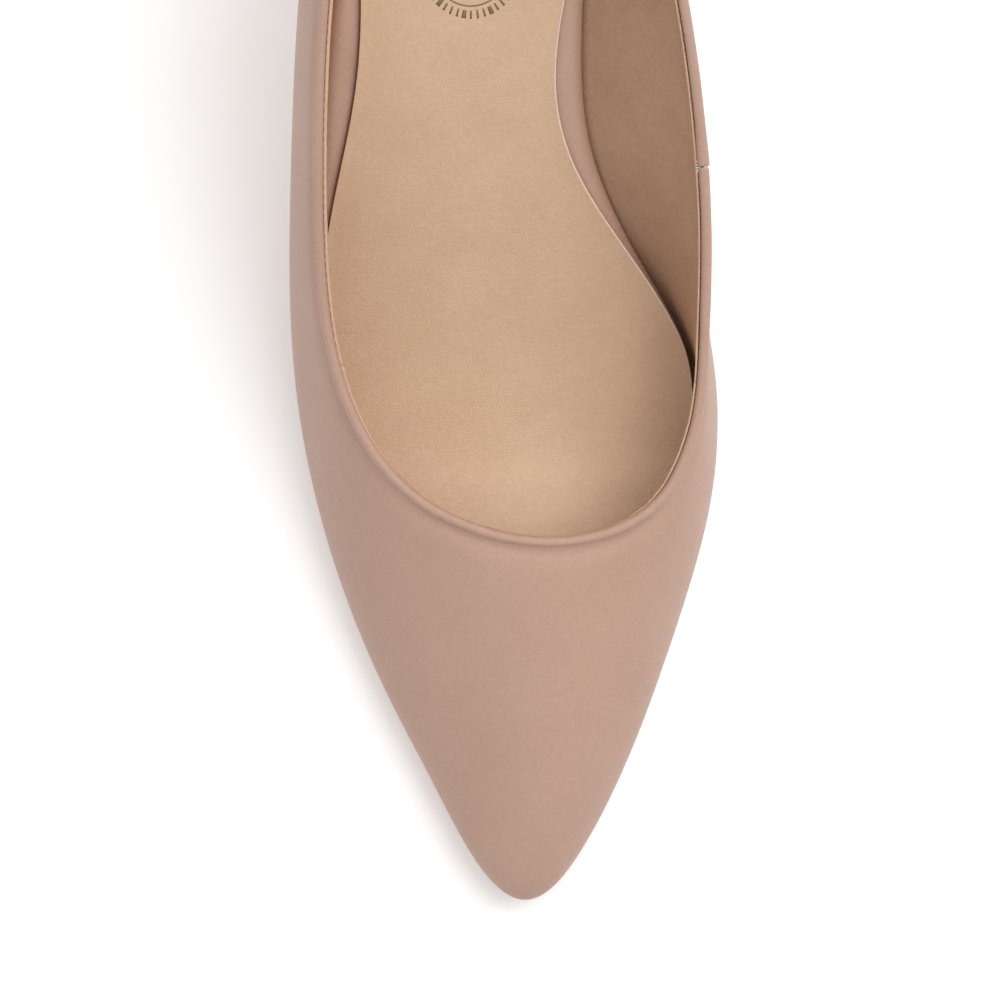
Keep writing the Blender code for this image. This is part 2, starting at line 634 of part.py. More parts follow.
def heel_seat_rings(inset):
    """The seat surface as sections that close in on its middle, following the last's bottom."""
    edge = heel_rings(inset, 1)[0][0]
    middle = np.array((HEEL_X, 214.0, 0.0))
    rings = []
    for share in (0.12, 0.55, 1.0):
        ring = middle + (edge - middle) * share
        ring[:, 2] = bottom(ring[:, 1]) - SEAT_GAP
        rings.append(ring)
    return rings


def build_heel(group):
    """Moulded block, its leather cover, the steel tube in it and the tip on its pin."""
    seat = heel_seat_rings(HEEL_COVER_THICK + 0.3)
    block_rings = np.array(seat + list(heel_rings(HEEL_COVER_THICK + 0.3, len(HEEL_SECTIONS))[0][1:]))
    block = loft("heel_block", block_rings, ((0.85, 0.82, 0.75), 0.5), group)
    cover_rings = heel_rings(0.0, len(HEEL_SECTIONS))[0]
    cover_rings[0, :, 2] = bottom(cover_rings[0, :, 1]) - SEAT_GAP
    cover = loft("heel_cover", cover_rings, ((0.52, 0.33, 0.26), 0.5), group, capped=False)
    add_solidify(cover, HEEL_COVER_THICK)
    foot = heel_rings(0.0, len(HEEL_SECTIONS))[0][-1]
    tip_rings = []
    for inset, height in ((0.0, TIP_TOP), (0.0, 0.8), (0.5, 0.0)):
        ring = foot.copy()
        centre = ring.mean(0)
        ring[:, :2] = centre[:2] + (ring[:, :2] - centre[:2]) * (1 - inset / 5.0)
        ring[:, 2] = height
        tip_rings.append(ring)
    tip = loft("heel_tip", np.array(tip_rings), ((0.10, 0.08, 0.07), 0.6), group)
    steel = ((0.60, 0.60, 0.62), 0.3, 1.0)
    tube = [(TUBE_RADIUS, TUBE_TOP), (TUBE_RADIUS, TUBE_FOOT), (TUBE_BORE, TUBE_FOOT),
            (TUBE_BORE, TUBE_TOP), (TUBE_RADIUS, TUBE_TOP)]
    stand(turned("heel_tube", tube, steel, group, 16), HEEL_X, TUBE_A, 0.0)
    pin = [(0.0, PIN_TOP), (PIN_RADIUS, PIN_TOP - 1.0), (PIN_RADIUS, 3.0), (0.0, 3.0)]
    stand(turned("heel_tip_pin", pin, steel, group), HEEL_X, TUBE_A, 0.0)
    drill(block, TUBE_RADIUS + CLEARANCE, HEEL_X, TUBE_A, 0.0, TUBE_TOP + 0.4)
    drill(tip, PIN_RADIUS + CLEARANCE, HEEL_X, TUBE_A, 2.6, 8.0)
    return block


def build_fasteners(group, board, shank, block):
    """Heel nails and screw, driven square to the seat, and the two rivets of the shank."""
    steel = ((0.62, 0.62, 0.64), 0.35, 1.0)
    head_base = INSOLE_BASE + INSOLE_THICK + 0.2
    spots = [(-7.6, 205.0), (7.6, 205.0), (-6.6, 218.5), (6.6, 218.5)]
    fixings = [("heel_nail_%d" % (i + 1), HEEL_X + x, a, NAIL_RADIUS, NAIL_HEAD, NAIL_LENGTH)
               for i, (x, a) in enumerate(spots)]
    fixings.append(("heel_screw", HEEL_X, 211.5, SCREW_RADIUS, SCREW_HEAD, SCREW_LENGTH))
    for name, x, a, radius, head, length in fixings:
        profile = [(0.0, head_base + 0.5), (head, head_base + 0.5), (head, head_base),
                   (radius, head_base), (radius, head_base - length + 2.5), (0.0, head_base - length)]
        fix(turned(name, profile, steel, group, 10), x, a)
        tilt = float(slope(a))
        for target in (board, block) + ((shank,) if name == "heel_screw" else ()):
            drill(target, radius + CLEARANCE, x, a, head_base - length - 0.4, head_base + 0.3, tilt)
    for name, a in (("shank_rivet_front", 113.0), ("shank_rivet_rear", 190.0)):
        x = float(strip_grid(shank_width, 0.0, np.array([a]), [(0.0, 0.0)])[0, 0, 0])
        profile = [(0.0, head_base + 0.4), (RIVET_HEAD, head_base + 0.4), (RIVET_HEAD, head_base),
                   (RIVET_RADIUS, head_base), (RIVET_RADIUS, 0.35), (0.0, 0.35)]
        fix(turned(name, profile, ((0.72, 0.58, 0.30), 0.35, 1.0), group, 10), x, a)
        for target in (board, shank):
            drill(target, RIVET_RADIUS + CLEARANCE, x, a, -1.0, head_base + 0.3, float(slope(a)))


def fix(thing, x, a):
    """Stand a fastener square to the last's bottom."""
    return stand(thing, x, a, float(bottom(a)), float(slope(a)))


clear_scene()
SHOE = make_collection("high_heel_pump")
CUTTERS = make_collection("cutters")
build_upper(SHOE)
build_linings(SHOE)
build_stiffeners(SHOE)
build_threads(SHOE)
insole = build_insole(SHOE)
steel_shank = build_bottom(SHOE)
heel = build_heel(SHOE)
build_fasteners(SHOE, insole, steel_shank, heel)
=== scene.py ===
# %% [markdown]
# # A pointed-toe high heel pump, worked out piece by piece
# A pump is pulled over a last, a wooden or plastic form of the foot.  Every layer of it, from the
# outside leather to the lining, follows that one form.  This lesson therefore describes the last
# once, as a few smooth functions, and then makes each layer by asking those functions for points.
# The CAD model is loaded first.  It is the fixed frame: it says where each piece is.

# %% Load the frame
import math

import bpy
import numpy as np
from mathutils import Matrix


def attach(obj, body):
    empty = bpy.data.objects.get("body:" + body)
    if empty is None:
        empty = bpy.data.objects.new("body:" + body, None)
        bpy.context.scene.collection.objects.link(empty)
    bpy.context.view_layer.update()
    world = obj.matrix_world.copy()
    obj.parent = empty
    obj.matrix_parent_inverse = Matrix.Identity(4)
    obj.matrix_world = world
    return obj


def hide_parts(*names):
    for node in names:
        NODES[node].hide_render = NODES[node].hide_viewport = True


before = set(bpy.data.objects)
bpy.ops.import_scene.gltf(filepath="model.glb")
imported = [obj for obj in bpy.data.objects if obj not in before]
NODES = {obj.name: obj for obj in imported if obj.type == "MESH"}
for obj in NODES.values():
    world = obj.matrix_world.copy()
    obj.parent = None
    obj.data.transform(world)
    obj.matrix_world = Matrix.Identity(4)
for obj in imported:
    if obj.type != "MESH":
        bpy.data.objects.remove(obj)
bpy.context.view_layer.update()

MM = 0.001

# %% [markdown]
# ## The camera
# The shoe is seen from straight above, with the toe towards the viewer's feet.  A long lens from
# 1.3 m keeps the shape nearly free of perspective, as in a catalogue.

# %% Camera
VIEW_HEIGHT = 1.3           # metres over the floor
VIEW_SPOT = (-0.00105, -0.043)
VIEW_WIDTH = 0.1929         # metres of floor from side to side of the view

camera_data = bpy.data.cameras.new("camera")
camera_data.sensor_width = 36.0
camera_data.lens = camera_data.sensor_width * VIEW_HEIGHT / VIEW_WIDTH
camera = bpy.data.objects.new("camera", camera_data)
camera.location = (*VIEW_SPOT, VIEW_HEIGHT)
bpy.context.scene.collection.objects.link(camera)
bpy.context.scene.camera = camera
print(f"camera: {camera_data.lens:.0f} mm lens, {VIEW_HEIGHT} m over the floor")

# %% [markdown]
# ## Smooth curves through a few measures
# A shoemaker measures a last at a few places and fairs a curve through them.  A cubic spline does
# the same.  It is solved for the bend at each knot, so that slope and bend run on without a break.
# One helper makes an open curve with given end slopes, the other a closed ring.


# %% Splines
def open_curve(knots, values, slope_start, slope_end):
    """Cubic spline: y = (1-s) y0 + s y1 + h^2/6 (((1-s)^3 - (1-s)) m0 + (s^3 - s) m1) between knots."""
    knots, values = np.asarray(knots, float), np.asarray(values, float)
    count, step = len(knots), np.diff(knots)
    rise = np.diff(values) / step
    matrix, right = np.zeros((count, count)), np.zeros(count)
    matrix[0, :2], right[0] = (2 * step[0], step[0]), 6 * (rise[0] - slope_start)
    matrix[-1, -2:], right[-1] = (step[-1], 2 * step[-1]), 6 * (slope_end - rise[-1])
    for i in range(1, count - 1):
        matrix[i, i - 1:i + 2] = step[i - 1], 2 * (step[i - 1] + step[i]), step[i]
        right[i] = 6 * (rise[i] - rise[i - 1])
    bend = np.linalg.solve(matrix, right)

    def value(x):
        i = np.clip(np.searchsorted(knots, x) - 1, 0, count - 2)
        after = (np.asarray(x, float) - knots[i]) / step[i]
        before = 1 - after
        cubic = (before**3 - before) * bend[i] + (after**3 - after) * bend[i + 1]
        return before * values[i] + after * values[i + 1] + step[i]**2 * cubic / 6
    return value


def ring_curve(rows):
    """Closed cubic spline through rows of numbers, one row for each unit of its parameter."""
    count = len(rows)
    identity = np.eye(count)
    matrix = 4 * identity + np.roll(identity, 1, 1) + np.roll(identity, -1, 1)
    bend = np.linalg.solve(matrix, 6 * (np.roll(rows, -1, 0) - 2 * rows + np.roll(rows, 1, 0)))

    def value(u):
        u = np.mod(np.asarray(u, float), count)
        i = np.minimum(np.floor(u).astype(int), count - 1)
        after = (u - i)[..., None]
        before, j = 1 - after, (i + 1) % count
        cubic = (before**3 - before) * bend[i] + (after**3 - after) * bend[j]
        return before * rows[i] + after * rows[j] + cubic / 6
    return value


def smooth(x):
    """3x^2 - 2x^3 between 0 and 1: an ease from none to all."""
    x = np.clip(x, 0, 1)
    return x * x * (3 - 2 * x)


# %% [markdown]
# ## The last
# Seen from the side, the bottom of the last springs up a little at the toe, lies flat at the tread
# under the ball of the foot, and climbs an arch to the heel seat.  The topline, which is the mouth
# of the shoe, climbs with it.  Lengths here are millimetres: x across, a from the toe, z up.

# %% The last from the side
ORIGIN_A = 119.7            # toe to the middle of the footprint
SOLE_TOP, TREAD_START, TREAD_END, TOE_SPRING = 3.0, 56.0, 82.0, 4.5
ARCH = [(82, 3.0), (96, 5.7), (112, 13.0), (136, 29.0), (160, 46.0), (184, 60.5), (208, 70.5), (237, 79.0)]
TOPLINE = [(66, 35.9), (80, 37.6), (100, 44.0), (125, 58.0), (150, 75.6), (180, 97.0), (210, 117.6),
           (234, 135.3)]
arch_height = open_curve(*zip(*ARCH), 0.0, 0.26)
topline_height = open_curve(*zip(*TOPLINE), 0.05, 0.76)


def bottom(a):
    """Height of the last's bottom: 3 + 4.5 (1 - a/56)^2 at the toe, flat tread, then the arch spline."""
    a = np.asarray(a, float)
    lift = TOE_SPRING * np.clip((TREAD_START - a) / TREAD_START, 0, None)**2
    return np.where(a < TREAD_END, SOLE_TOP + lift, arch_height(np.clip(a, TREAD_END, None)))


def slope(a):
    """Angle of the last's bottom to the ground."""
    return np.arctan(bottom(a + 0.5) - bottom(a - 0.5))


def lifted(x, a, height):
    """The point square above the last's bottom: (x, a - h sin, bottom + h cos) of the slope."""
    x, a, height = np.broadcast_arrays(x, a, height)
    return np.stack([x, a - height * np.sin(slope(a)), bottom(a) + height * np.cos(slope(a))], -1)


def place(points):
    """Last coordinates in millimetres as frame coordinates in metres."""
    return (np.asarray(points, float) - (0.0, ORIGIN_A, 0.0)) * MM


print("arch at the shank's middle:", round(float(bottom(150.0)), 1), "mm over the ground")

# %% [markdown]
# Seen from above there are two loops.  The feather line is where the leather turns under the foot,
# and the topline is the mouth.  A row of the next table is a station: the feather's x and a, the
# topline's x and a, and how far the wall between them bulges out low down and high up.  The loops
# start at the toe, run up the outer side to the back, and come home along the arch side.

# %% The last from above
STATIONS = np.array([
    (3.6, 0.9, 9.3, 68.9, 7.0, 9.0, 31.0, 8.0), (-5.0, 8.4, 4.3, 69.1, 6.8, 9.2, 29.2, 8.2),
    (-13.0, 23.4, -1.6, 70.1, 6.5, 9.6, 24.8, 8.8), (-21.4, 39.8, -8.6, 72.5, 6.1, 10.0, 18.8, 9.5),
    (-28.7, 57.4, -16.6, 77.0, 5.7, 10.0, 13.2, 10.2), (-34.3, 76.6, -24.4, 85.2, 5.3, 10.0, 9.1, 10.7),
    (-37.6, 96.2, -30.5, 97.6, 5.0, 10.0, 6.4, 11.0), (-38.4, 115.6, -33.8, 113.6, 4.9, 10.0, 4.8, 11.2),
    (-37.3, 134.2, -34.5, 132.2, 5.5, 10.3, 4.1, 11.5), (-35.2, 153.0, -33.9, 152.2, 6.7, 11.0, 4.0, 12.1),
    (-32.8, 172.8, -32.1, 172.7, 7.6, 12.0, 4.0, 13.0), (-29.9, 192.2, -29.0, 192.9, 7.4, 12.7, 4.0, 14.2),
    (-25.9, 210.4, -24.4, 211.9, 6.7, 13.0, 4.0, 15.8), (-17.8, 228.2, -16.0, 226.2, 6.1, 13.0, 4.2, 17.2),
    (-4.5, 236.0, -4.0, 233.0, 6.0, 13.0, 4.5, 18.0), (8.8, 228.2, 10.0, 224.0, 6.1, 13.0, 4.2, 17.2),
    (17.9, 208.5, 19.8, 206.0, 6.6, 13.0, 3.6, 15.6), (17.2, 187.5, 26.9, 186.2, 7.0, 12.5, 2.4, 13.8),
    (15.3, 165.5, 32.2, 165.3, 7.4, 11.6, 1.2, 12.4), (16.6, 144.5, 35.5, 144.5, 7.3, 10.8, 0.4, 11.5),
    (25.4, 125.4, 37.0, 125.6, 5.8, 10.2, 0.4, 11.1), (36.6, 108.2, 37.0, 109.0, 2.4, 10.0, 0.7, 11.0),
    (39.1, 91.5, 36.3, 95.3, 2.7, 10.0, 2.6, 10.9), (36.9, 74.0, 33.6, 84.7, 3.5, 10.0, 5.6, 10.6),
    (31.9, 56.0, 29.3, 77.1, 3.7, 10.0, 10.0, 10.0), (26.1, 39.0, 23.9, 72.7, 4.6, 9.9, 16.4, 9.3),
    (19.9, 23.2, 18.6, 70.4, 5.6, 9.6, 23.0, 8.7), (12.0, 8.2, 13.7, 69.3, 6.4, 9.2, 28.6, 8.2),
])
LOOP = len(STATIONS)
STATION_MM = 19.0           # the usual distance from one station to the next, along the topline
BACK_SEAM, SIDE_SEAM = 14.0, 19.35
LINING_SEAM_LATERAL, LINING_SEAM_MEDIAL = 6.25, 21.75
station_at = ring_curve(STATIONS)


def plan_normal(dx, da):
    """Unit normal (-da, dx), in plan, which points away from the foot."""
    normal = np.stack([-da, dx], -1)
    return normal / np.linalg.norm(normal, axis=-1, keepdims=True)


def loops(u):
    """Feather point, topline point, their outward plan normals and the bulge of the wall at u."""
    row = station_at(u)
    rate = station_at(u + 1e-3) - station_at(u - 1e-3)
    feather = np.stack([row[..., 0], row[..., 1], bottom(row[..., 1])], -1)
    topline = np.stack([row[..., 2], row[..., 3], topline_height(row[..., 3])], -1)
    normal_f, normal_t = plan_normal(rate[..., 0], rate[..., 1]), plan_normal(rate[..., 2], rate[..., 3])
    return feather, topline, normal_f, normal_t, row[..., 4:]


def flat(normal, out, up):
    """A 3-D step: out along a plan normal and up along z."""
    out, up = (np.broadcast_to(v, normal.shape[:-1])[..., None] for v in (out, up))
    return np.concatenate([normal * out, up], -1)


def at_topline(u, out, up):
    """Topline point + out square to the wall + up along the wall."""
    _, top, _, normal, handle = loops(u)
    reach = np.hypot(handle[..., 2], handle[..., 3])
    lean, rise = handle[..., 2] / reach, handle[..., 3] / reach
    return top + flat(normal, out * rise - up * lean, out * lean + up * rise)


# %% [markdown]
# The wall between the two loops is a cubic Bezier curve for each u.  A Bezier was chosen because a
# shoe's wall is convex low down and nearly straight at the top, which two handles describe well.
# Each inner layer is that wall moved towards the foot along its own normal.

# %% The wall and its offsets
FOLD_RADIUS, FOLD_PROUD = 0.95, 0.35     # the rolled edge, and how far it stands out from the wall
UPPER_THICK, LINING_DEPTH, LINING_THICK = 1.0, 2.25, 0.7


def wall(u, t):
    """(1-t)^3 F + 3(1-t)^2 t (F + bulge) + 3(1-t) t^2 (T + bulge) + t^3 T, from feather F to topline T."""
    u, t = np.broadcast_arrays(np.asarray(u, float), np.asarray(t, float))
    start, _, normal_f, normal_t, handle = loops(u)
    end = at_topline(u, FOLD_RADIUS - FOLD_PROUD, -1.5)
    low = start + flat(normal_f, handle[..., 0], handle[..., 1])
    high = end + flat(normal_t, handle[..., 2], -handle[..., 3])
    t = t[..., None]
    s = 1 - t
    return s**3 * start + 3 * s * s * t * low + 3 * s * t * t * high + t**3 * end


def inside(u, t, depth):
    """wall(u, t) - depth N, where N is the unit normal dW/dt x dW/du that points off the foot."""
    u, t = np.broadcast_arrays(np.asarray(u, float), np.asarray(t, float))
    along = wall(u + 1e-3, t) - wall(u - 1e-3, t)
    upward = wall(u, np.minimum(t + 1e-3, 1)) - wall(u, t - 1e-3)
    normal = np.cross(upward, along)
    normal /= np.linalg.norm(normal, axis=-1, keepdims=True)
    return wall(u, t) - normal * np.broadcast_to(depth, u.shape)[..., None]


ALL_ROUND = np.arange(40 * LOOP) / 40.0


def sides(inset):
    """The feather line moved in by inset, as its first and last a and its x on both sides at a."""
    start, _, normal, _, _ = loops(ALL_ROUND)
    spot = start[:, :2] - normal * inset[:, None]
    spot = np.roll(spot, -np.argmin(spot[:, 1]), 0)
    back = np.argmax(spot[:, 1])
    left, right = spot[:back + 1], np.vstack([spot[back:], spot[:1]])[::-1]

    def x_at(a):
        return np.interp(a, left[:, 1], left[:, 0]), np.interp(a, right[:, 1], right[:, 0])
    return left[0, 1], left[-1, 1], x_at


_, _, foot_sides = sides(np.zeros(len(ALL_ROUND)))


def under(u, reach, height):
    """A point reach inside the feather line, towards the foot's middle, at height over the bottom."""
    start = loops(u)[0]
    a = np.clip(start[..., 1], 17.0, 218.0)
    aim = np.stack([sum(foot_sides(a)) / 2, a], -1) - start[..., :2]
    span = np.linalg.norm(aim, axis=-1, keepdims=True)
    spot = start[..., :2] + aim / span * np.minimum(reach, 0.55 * span)
    return lifted(spot[..., 0], spot[..., 1], height)


def wall_inset(low, high):
    """How far the lining's inner face stands inside the feather line, between two heights."""
    u, t = ALL_ROUND[:, None], np.linspace(0.05, 0.5, 46)
    face = inside(u, t, LINING_DEPTH + LINING_THICK)
    tilt = slope(face[..., 1])
    height = (face[..., 2] - bottom(face[..., 1])) * np.cos(tilt)
    start, _, normal, _, _ = loops(ALL_ROUND)
    shift = start[:, None, :2] - np.stack([face[..., 0], face[..., 1] + height * np.sin(tilt)], -1)
    inset = (shift * normal[:, None]).sum(-1)
    found = [[np.interp(level, h, i) for level in (low, high)] for h, i in zip(height, inset)]
    return np.max(found, axis=1) + 2.4 * np.exp(-(start[:, 1] / 14.0)**2)


print("topline length:", round(float(np.linalg.norm(np.diff(at_topline(np.linspace(0, LOOP, 3000), 0, 0),
                                                          axis=0), axis=1).sum())), "mm")

# %% [markdown]
# ## From a grid of points to a mesh
# Each piece is a grid: rows one way, columns the other, with a quad between four neighbours.  The
# points go into the mesh in one call, because a loop over vertices is slow in Python.  Leather and
# board get their thickness from Solidify, which moves a copy of the sheet inwards and closes the
# rim.  The rim can take a second material, which is how the raw cut edge of leather is made.


# %% Mesh helpers
def grid_faces(rows, columns, wrap=False):
    """Quads between neighbours of a grid; wrap joins its last column to the first."""
    number = np.arange(rows * columns).reshape(rows, columns)
    if wrap:
        number = np.concatenate([number, number[:, :1]], axis=1)
    quads = np.stack([number[:-1, :-1], number[:-1, 1:], number[1:, 1:], number[1:, :-1]], -1)
    return quads.reshape(-1, 4)


def add_piece(name, points, faces, stands_for, slot, *materials):
    """A smooth mesh that rides on the shoe, stands for CAD nodes and takes the given materials; slot is not
    used.
    """
    mesh = bpy.data.meshes.new(name)
    faces = faces if isinstance(faces, list) else faces.tolist()
    mesh.from_pydata(place(points).reshape(-1, 3).tolist(), [], faces)
    mesh.shade_smooth()
    for material in materials:
        mesh.materials.append(material)
    piece = bpy.data.objects.new(name, mesh)
    bpy.context.scene.collection.objects.link(piece)
    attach(piece, "root")
    if stands_for:
        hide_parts(*stands_for)
    print(f"{name}: {len(mesh.vertices)} points, {len(mesh.polygons)} faces")
    return piece


def thicken(piece, thickness, factors=None, rim=None):
    """Solidify, away from where the faces look.  factors skives it; rim is the cut edge's material."""
    solid = piece.modifiers.new("thickness", "SOLIDIFY")
    solid.thickness, solid.offset, solid.use_even_offset = thickness * MM, -1.0, True
    if rim is not None:
        solid.material_offset_rim = rim
    if factors is not None:
        share = piece.vertex_groups.new(name="skived")
        levels = np.ravel(np.round(factors, 2))
        for value in np.unique(levels):
            share.add(np.flatnonzero(levels == value).tolist(), float(value), "REPLACE")
        solid.vertex_group = share.name
    return piece


def soften(piece, width, angle=40.0, segments=3):
    """A small bevel on the sharp edges, as wear and trimming leave them."""
    bevel = piece.modifiers.new("worn edge", "BEVEL")
    bevel.width, bevel.segments, bevel.limit_method = width * MM, segments, "ANGLE"
    bevel.angle_limit = math.radians(angle)
    return piece


# %% [markdown]
# ## Finishes
# A material is a small graph of nodes.  One helper adds a node, sets its properties, and fills its
# inputs with a value or with a link.  Colours are written as hex values, which are sRGB, and one
# function turns them to the linear values that light works in.
#
# Patterns read Object coordinates, in metres, so a pattern with cells of g millimetres has a scale
# of 1000 / g.


# %% Node helpers
def linear(code):
    """sRGB hex to linear: c / 12.92 below 0.04045, else ((c + 0.055) / 1.055)^2.4."""
    parts = [int(code[i:i + 2], 16) / 255 for i in (1, 3, 5)]
    return (*[c / 12.92 if c <= 0.04045 else ((c + 0.055) / 1.055)**2.4 for c in parts], 1.0)


def add_node(tree, kind, inputs=None, **settings):
    """Add a node, set its properties, and fill each input with a link if it is a socket, else a value."""
    node = tree.nodes.new(kind)
    for key, value in settings.items():
        setattr(node, key, value)
    for key, value in (inputs or {}).items():
        if isinstance(value, bpy.types.NodeSocket):
            tree.links.new(value, node.inputs[key])
        else:
            node.inputs[key].default_value = value
    return node


def new_material(name):
    """An empty Principled material, its tree, its shader and the Object coordinates."""
    material = bpy.data.materials.new(name)
    material.use_nodes = True
    tree = material.node_tree
    where = add_node(tree, "ShaderNodeTexCoord").outputs["Object"]
    return material, tree, tree.nodes["Principled BSDF"], where


def noise(tree, where, size_mm, detail=2.0, rough=0.5):
    """Cloudy noise whose blotches are about size_mm wide."""
    return add_node(tree, "ShaderNodeTexNoise", {"Vector": where, "Scale": 1000.0 / size_mm,
                                                 "Detail": detail, "Roughness": rough}).outputs["Fac"]


def ramp(tree, value, low, high, start=0.0, end=1.0):
    """A value between low and high as one from start to end, without going past them."""
    return add_node(tree, "ShaderNodeMapRange", {"Value": value, "From Min": low, "From Max": high,
                                                 "To Min": start, "To Max": end}).outputs["Result"]


def blend(tree, share, first, second):
    """Mix of two colours, each a hex value or a socket, by a share from 0 to 1."""
    node = add_node(tree, "ShaderNodeMix", {"Factor": share}, data_type="RGBA")
    for socket, colour in ((node.inputs[6], first), (node.inputs[7], second)):
        if isinstance(colour, str):
            socket.default_value = linear(colour)
        else:
            tree.links.new(colour, socket)
    return node.outputs[2]


def emboss(tree, height, depth_mm, under_normal=None, strength=1.0):
    """Bump of depth_mm from a height between 0 and 1, on top of another bump if there is one."""
    inputs = {"Height": height, "Distance": depth_mm * MM, "Strength": strength}
    if under_normal is not None:
        inputs["Normal"] = under_normal
    return add_node(tree, "ShaderNodeBump", inputs).outputs["Normal"]


def leather(name, light, dark, grain_mm, grain_depth, pore_mm, roughness, waves_mm=24.0, wave_depth=0.12,
            sheen=0.0):
    """Full-grain leather: cells of the grain, finer pores, slow waves, and a dye that takes unevenly."""
    material, tree, shader, where = new_material(name)
    cells = add_node(tree, "ShaderNodeTexVoronoi", {"Vector": where, "Scale": 1000.0 / grain_mm},
                     feature="DISTANCE_TO_EDGE").outputs["Distance"]
    crease = ramp(tree, cells, 0.0, 0.16)
    pores = noise(tree, where, pore_mm, 1.0)
    blotch = ramp(tree, noise(tree, where, waves_mm * 0.7, 3.0), 0.3, 0.7)
    speck = ramp(tree, noise(tree, where, 0.9, 2.0, 0.6), 0.35, 0.65)
    shade = add_node(tree, "ShaderNodeMath", {0: blotch, 1: speck}, operation="ADD").outputs[0]
    half = add_node(tree, "ShaderNodeMath", {0: shade, 1: 0.5}, operation="MULTIPLY").outputs[0]
    tree.links.new(blend(tree, half, dark, light), shader.inputs["Base Color"])
    gloss = ramp(tree, pores, 0.3, 0.7, roughness - 0.05, roughness + 0.06)
    tree.links.new(gloss, shader.inputs["Roughness"])
    normal = emboss(tree, noise(tree, where, waves_mm, 1.0), wave_depth)
    normal = emboss(tree, crease, grain_depth, normal)
    tree.links.new(emboss(tree, pores, grain_depth * 0.5, normal), shader.inputs["Normal"])
    shader.inputs["IOR"].default_value = 1.5
    shader.inputs["Sheen Weight"].default_value = sheen
    shader.inputs["Sheen Roughness"].default_value = 0.4
    return material


def grained(name, light, dark, grain_mm, depth_mm, roughness, metallic=0.0, ior=1.5,
            stretch=(1.0, 1.0, 1.0)):
    """A plain stock material: two shades mixed by its own grain, and the same grain as relief."""
    material, tree, shader, where = new_material(name)
    turned = add_node(tree, "ShaderNodeMapping", {"Vector": where, "Scale": stretch}).outputs["Vector"]
    grain = noise(tree, turned, grain_mm, 3.0, 0.6)
    tree.links.new(blend(tree, ramp(tree, grain, 0.3, 0.7), dark, light), shader.inputs["Base Color"])
    gloss = ramp(tree, grain, 0.3, 0.7, roughness + 0.05, roughness - 0.05)
    tree.links.new(gloss, shader.inputs["Roughness"])
    tree.links.new(emboss(tree, grain, depth_mm), shader.inputs["Normal"])
    shader.inputs["Metallic"].default_value = metallic
    if not metallic:
        shader.inputs["IOR"].default_value = ior
    return material


# %% [markdown]
# The upper is aniline lamb nappa with a matte finish: a warm nude pink, a very fine grain, and only
# a soft, wide highlight.  The same hide wraps the insole edge and the heel.  The lining is a plain
# tan goatskin, and the sock on the insole is the same tan a little lighter and smoother.

# %% Leathers
nappa = leather("lamb_nappa_matte", "#B99684", "#B28E7C", 0.55, 0.034, 0.25, 0.56, sheen=0.08)
wrap_nappa = leather("lamb_nappa_insole_wrap", "#C8A694", "#C09C8A", 0.55, 0.034, 0.25, 0.58)
heel_nappa = leather("lamb_nappa_heel", "#B99684", "#B28E7C", 0.55, 0.026, 0.25, 0.54, wave_depth=0.03)
goat_lining = leather("goat_lining_tan", "#C49F84", "#B58F74", 0.7, 0.045, 0.3, 0.6, 14.0, 0.16)
sock_leather = leather("sheep_sock_leather_tan", "#D9B99B", "#CFAC8E", 0.6, 0.032, 0.25, 0.55, 18.0, 0.1)
cut_edge = grained("leather_cut_edge_cream", "#D8B698", "#C7A184", 0.35, 0.03, 0.75)
# The sock's cut edge on the arch side, which faces the light: its own pale colour with a painted highlight.
pale_edge_with_painted_highlight = grained("sock_cut_edge_pale_with_painted_highlight", "#F2E2D2", "#E2CDB8", 0.3, 0.02, 0.6)
# The same cut edge on the outer side, which faces away from the light: a dark painted shade.
painted_shade_edge = grained("sock_cut_edge_painted_shade", "#6E4A38", "#553627", 0.3, 0.02, 0.6)

# %% [markdown]
# Nobody sees the pieces between the upper and the lining, but each has its own stock: a toe puff of
# thermoplastic, a counter of leatherboard, cotton backing, a fibreboard insole, a hardened steel
# shank, and a heel block of injection-moulded ABS.

# %% Stock materials
toe_sheet = grained("thermoplastic_toe_sheet", "#DCD8CC", "#CFC9BA", 0.8, 0.02, 0.6)
leatherboard = grained("leatherboard_counter", "#B08D66", "#93724D", 0.9, 0.05, 0.85)
cotton = grained("cotton_backing_woven", "#EAE6DA", "#D8D2C2", 0.45, 0.06, 0.9)
tape_cloth = grained("nylon_tape", "#E4E2DC", "#CFCCC4", 0.3, 0.03, 0.7)
fibreboard = grained("cellulose_fibreboard", "#A98A62", "#8C6D48", 0.7, 0.05, 0.9)
latex_foam = grained("latex_foam", "#F0E6C8", "#E0D2AC", 0.6, 0.08, 0.95)
cork = grained("cork_filler", "#B98D5C", "#7C5633", 1.2, 0.12, 0.95)
outsole_stock = grained("microcellular_rubber_tan", "#B98F68", "#A87E58", 0.5, 0.03, 0.62, ior=1.52)
spring_steel = grained("spring_steel_blued", "#7D8288", "#5F646B", 0.35, 0.005, 0.34, 1.0,
                       stretch=(1, 0.08, 1))
bright_steel = grained("zinc_plated_steel", "#B9BCC0", "#9DA1A6", 0.3, 0.004, 0.3, 1.0)
brass = grained("brass_rivet", "#C9A352", "#B08A3C", 0.3, 0.004, 0.28, 1.0)
abs_plastic = grained("abs_moulded", "#E6DFCF", "#DCD3C0", 1.4, 0.01, 0.45)
tip_rubber = grained("polyurethane_top_piece", "#2B2422", "#1E1917", 0.4, 0.02, 0.55, ior=1.52)
dark_thread = grained("polyester_thread_brown", "#84594A", "#6E4838", 0.12, 0.03, 0.6)
white_thread = grained("polyester_thread_white", "#F2EDE6", "#DDD5CB", 0.12, 0.03, 0.6)
stamp_ink = grained("foil_stamp_olive", "#8A7650", "#77643F", 0.3, 0.005, 0.5)

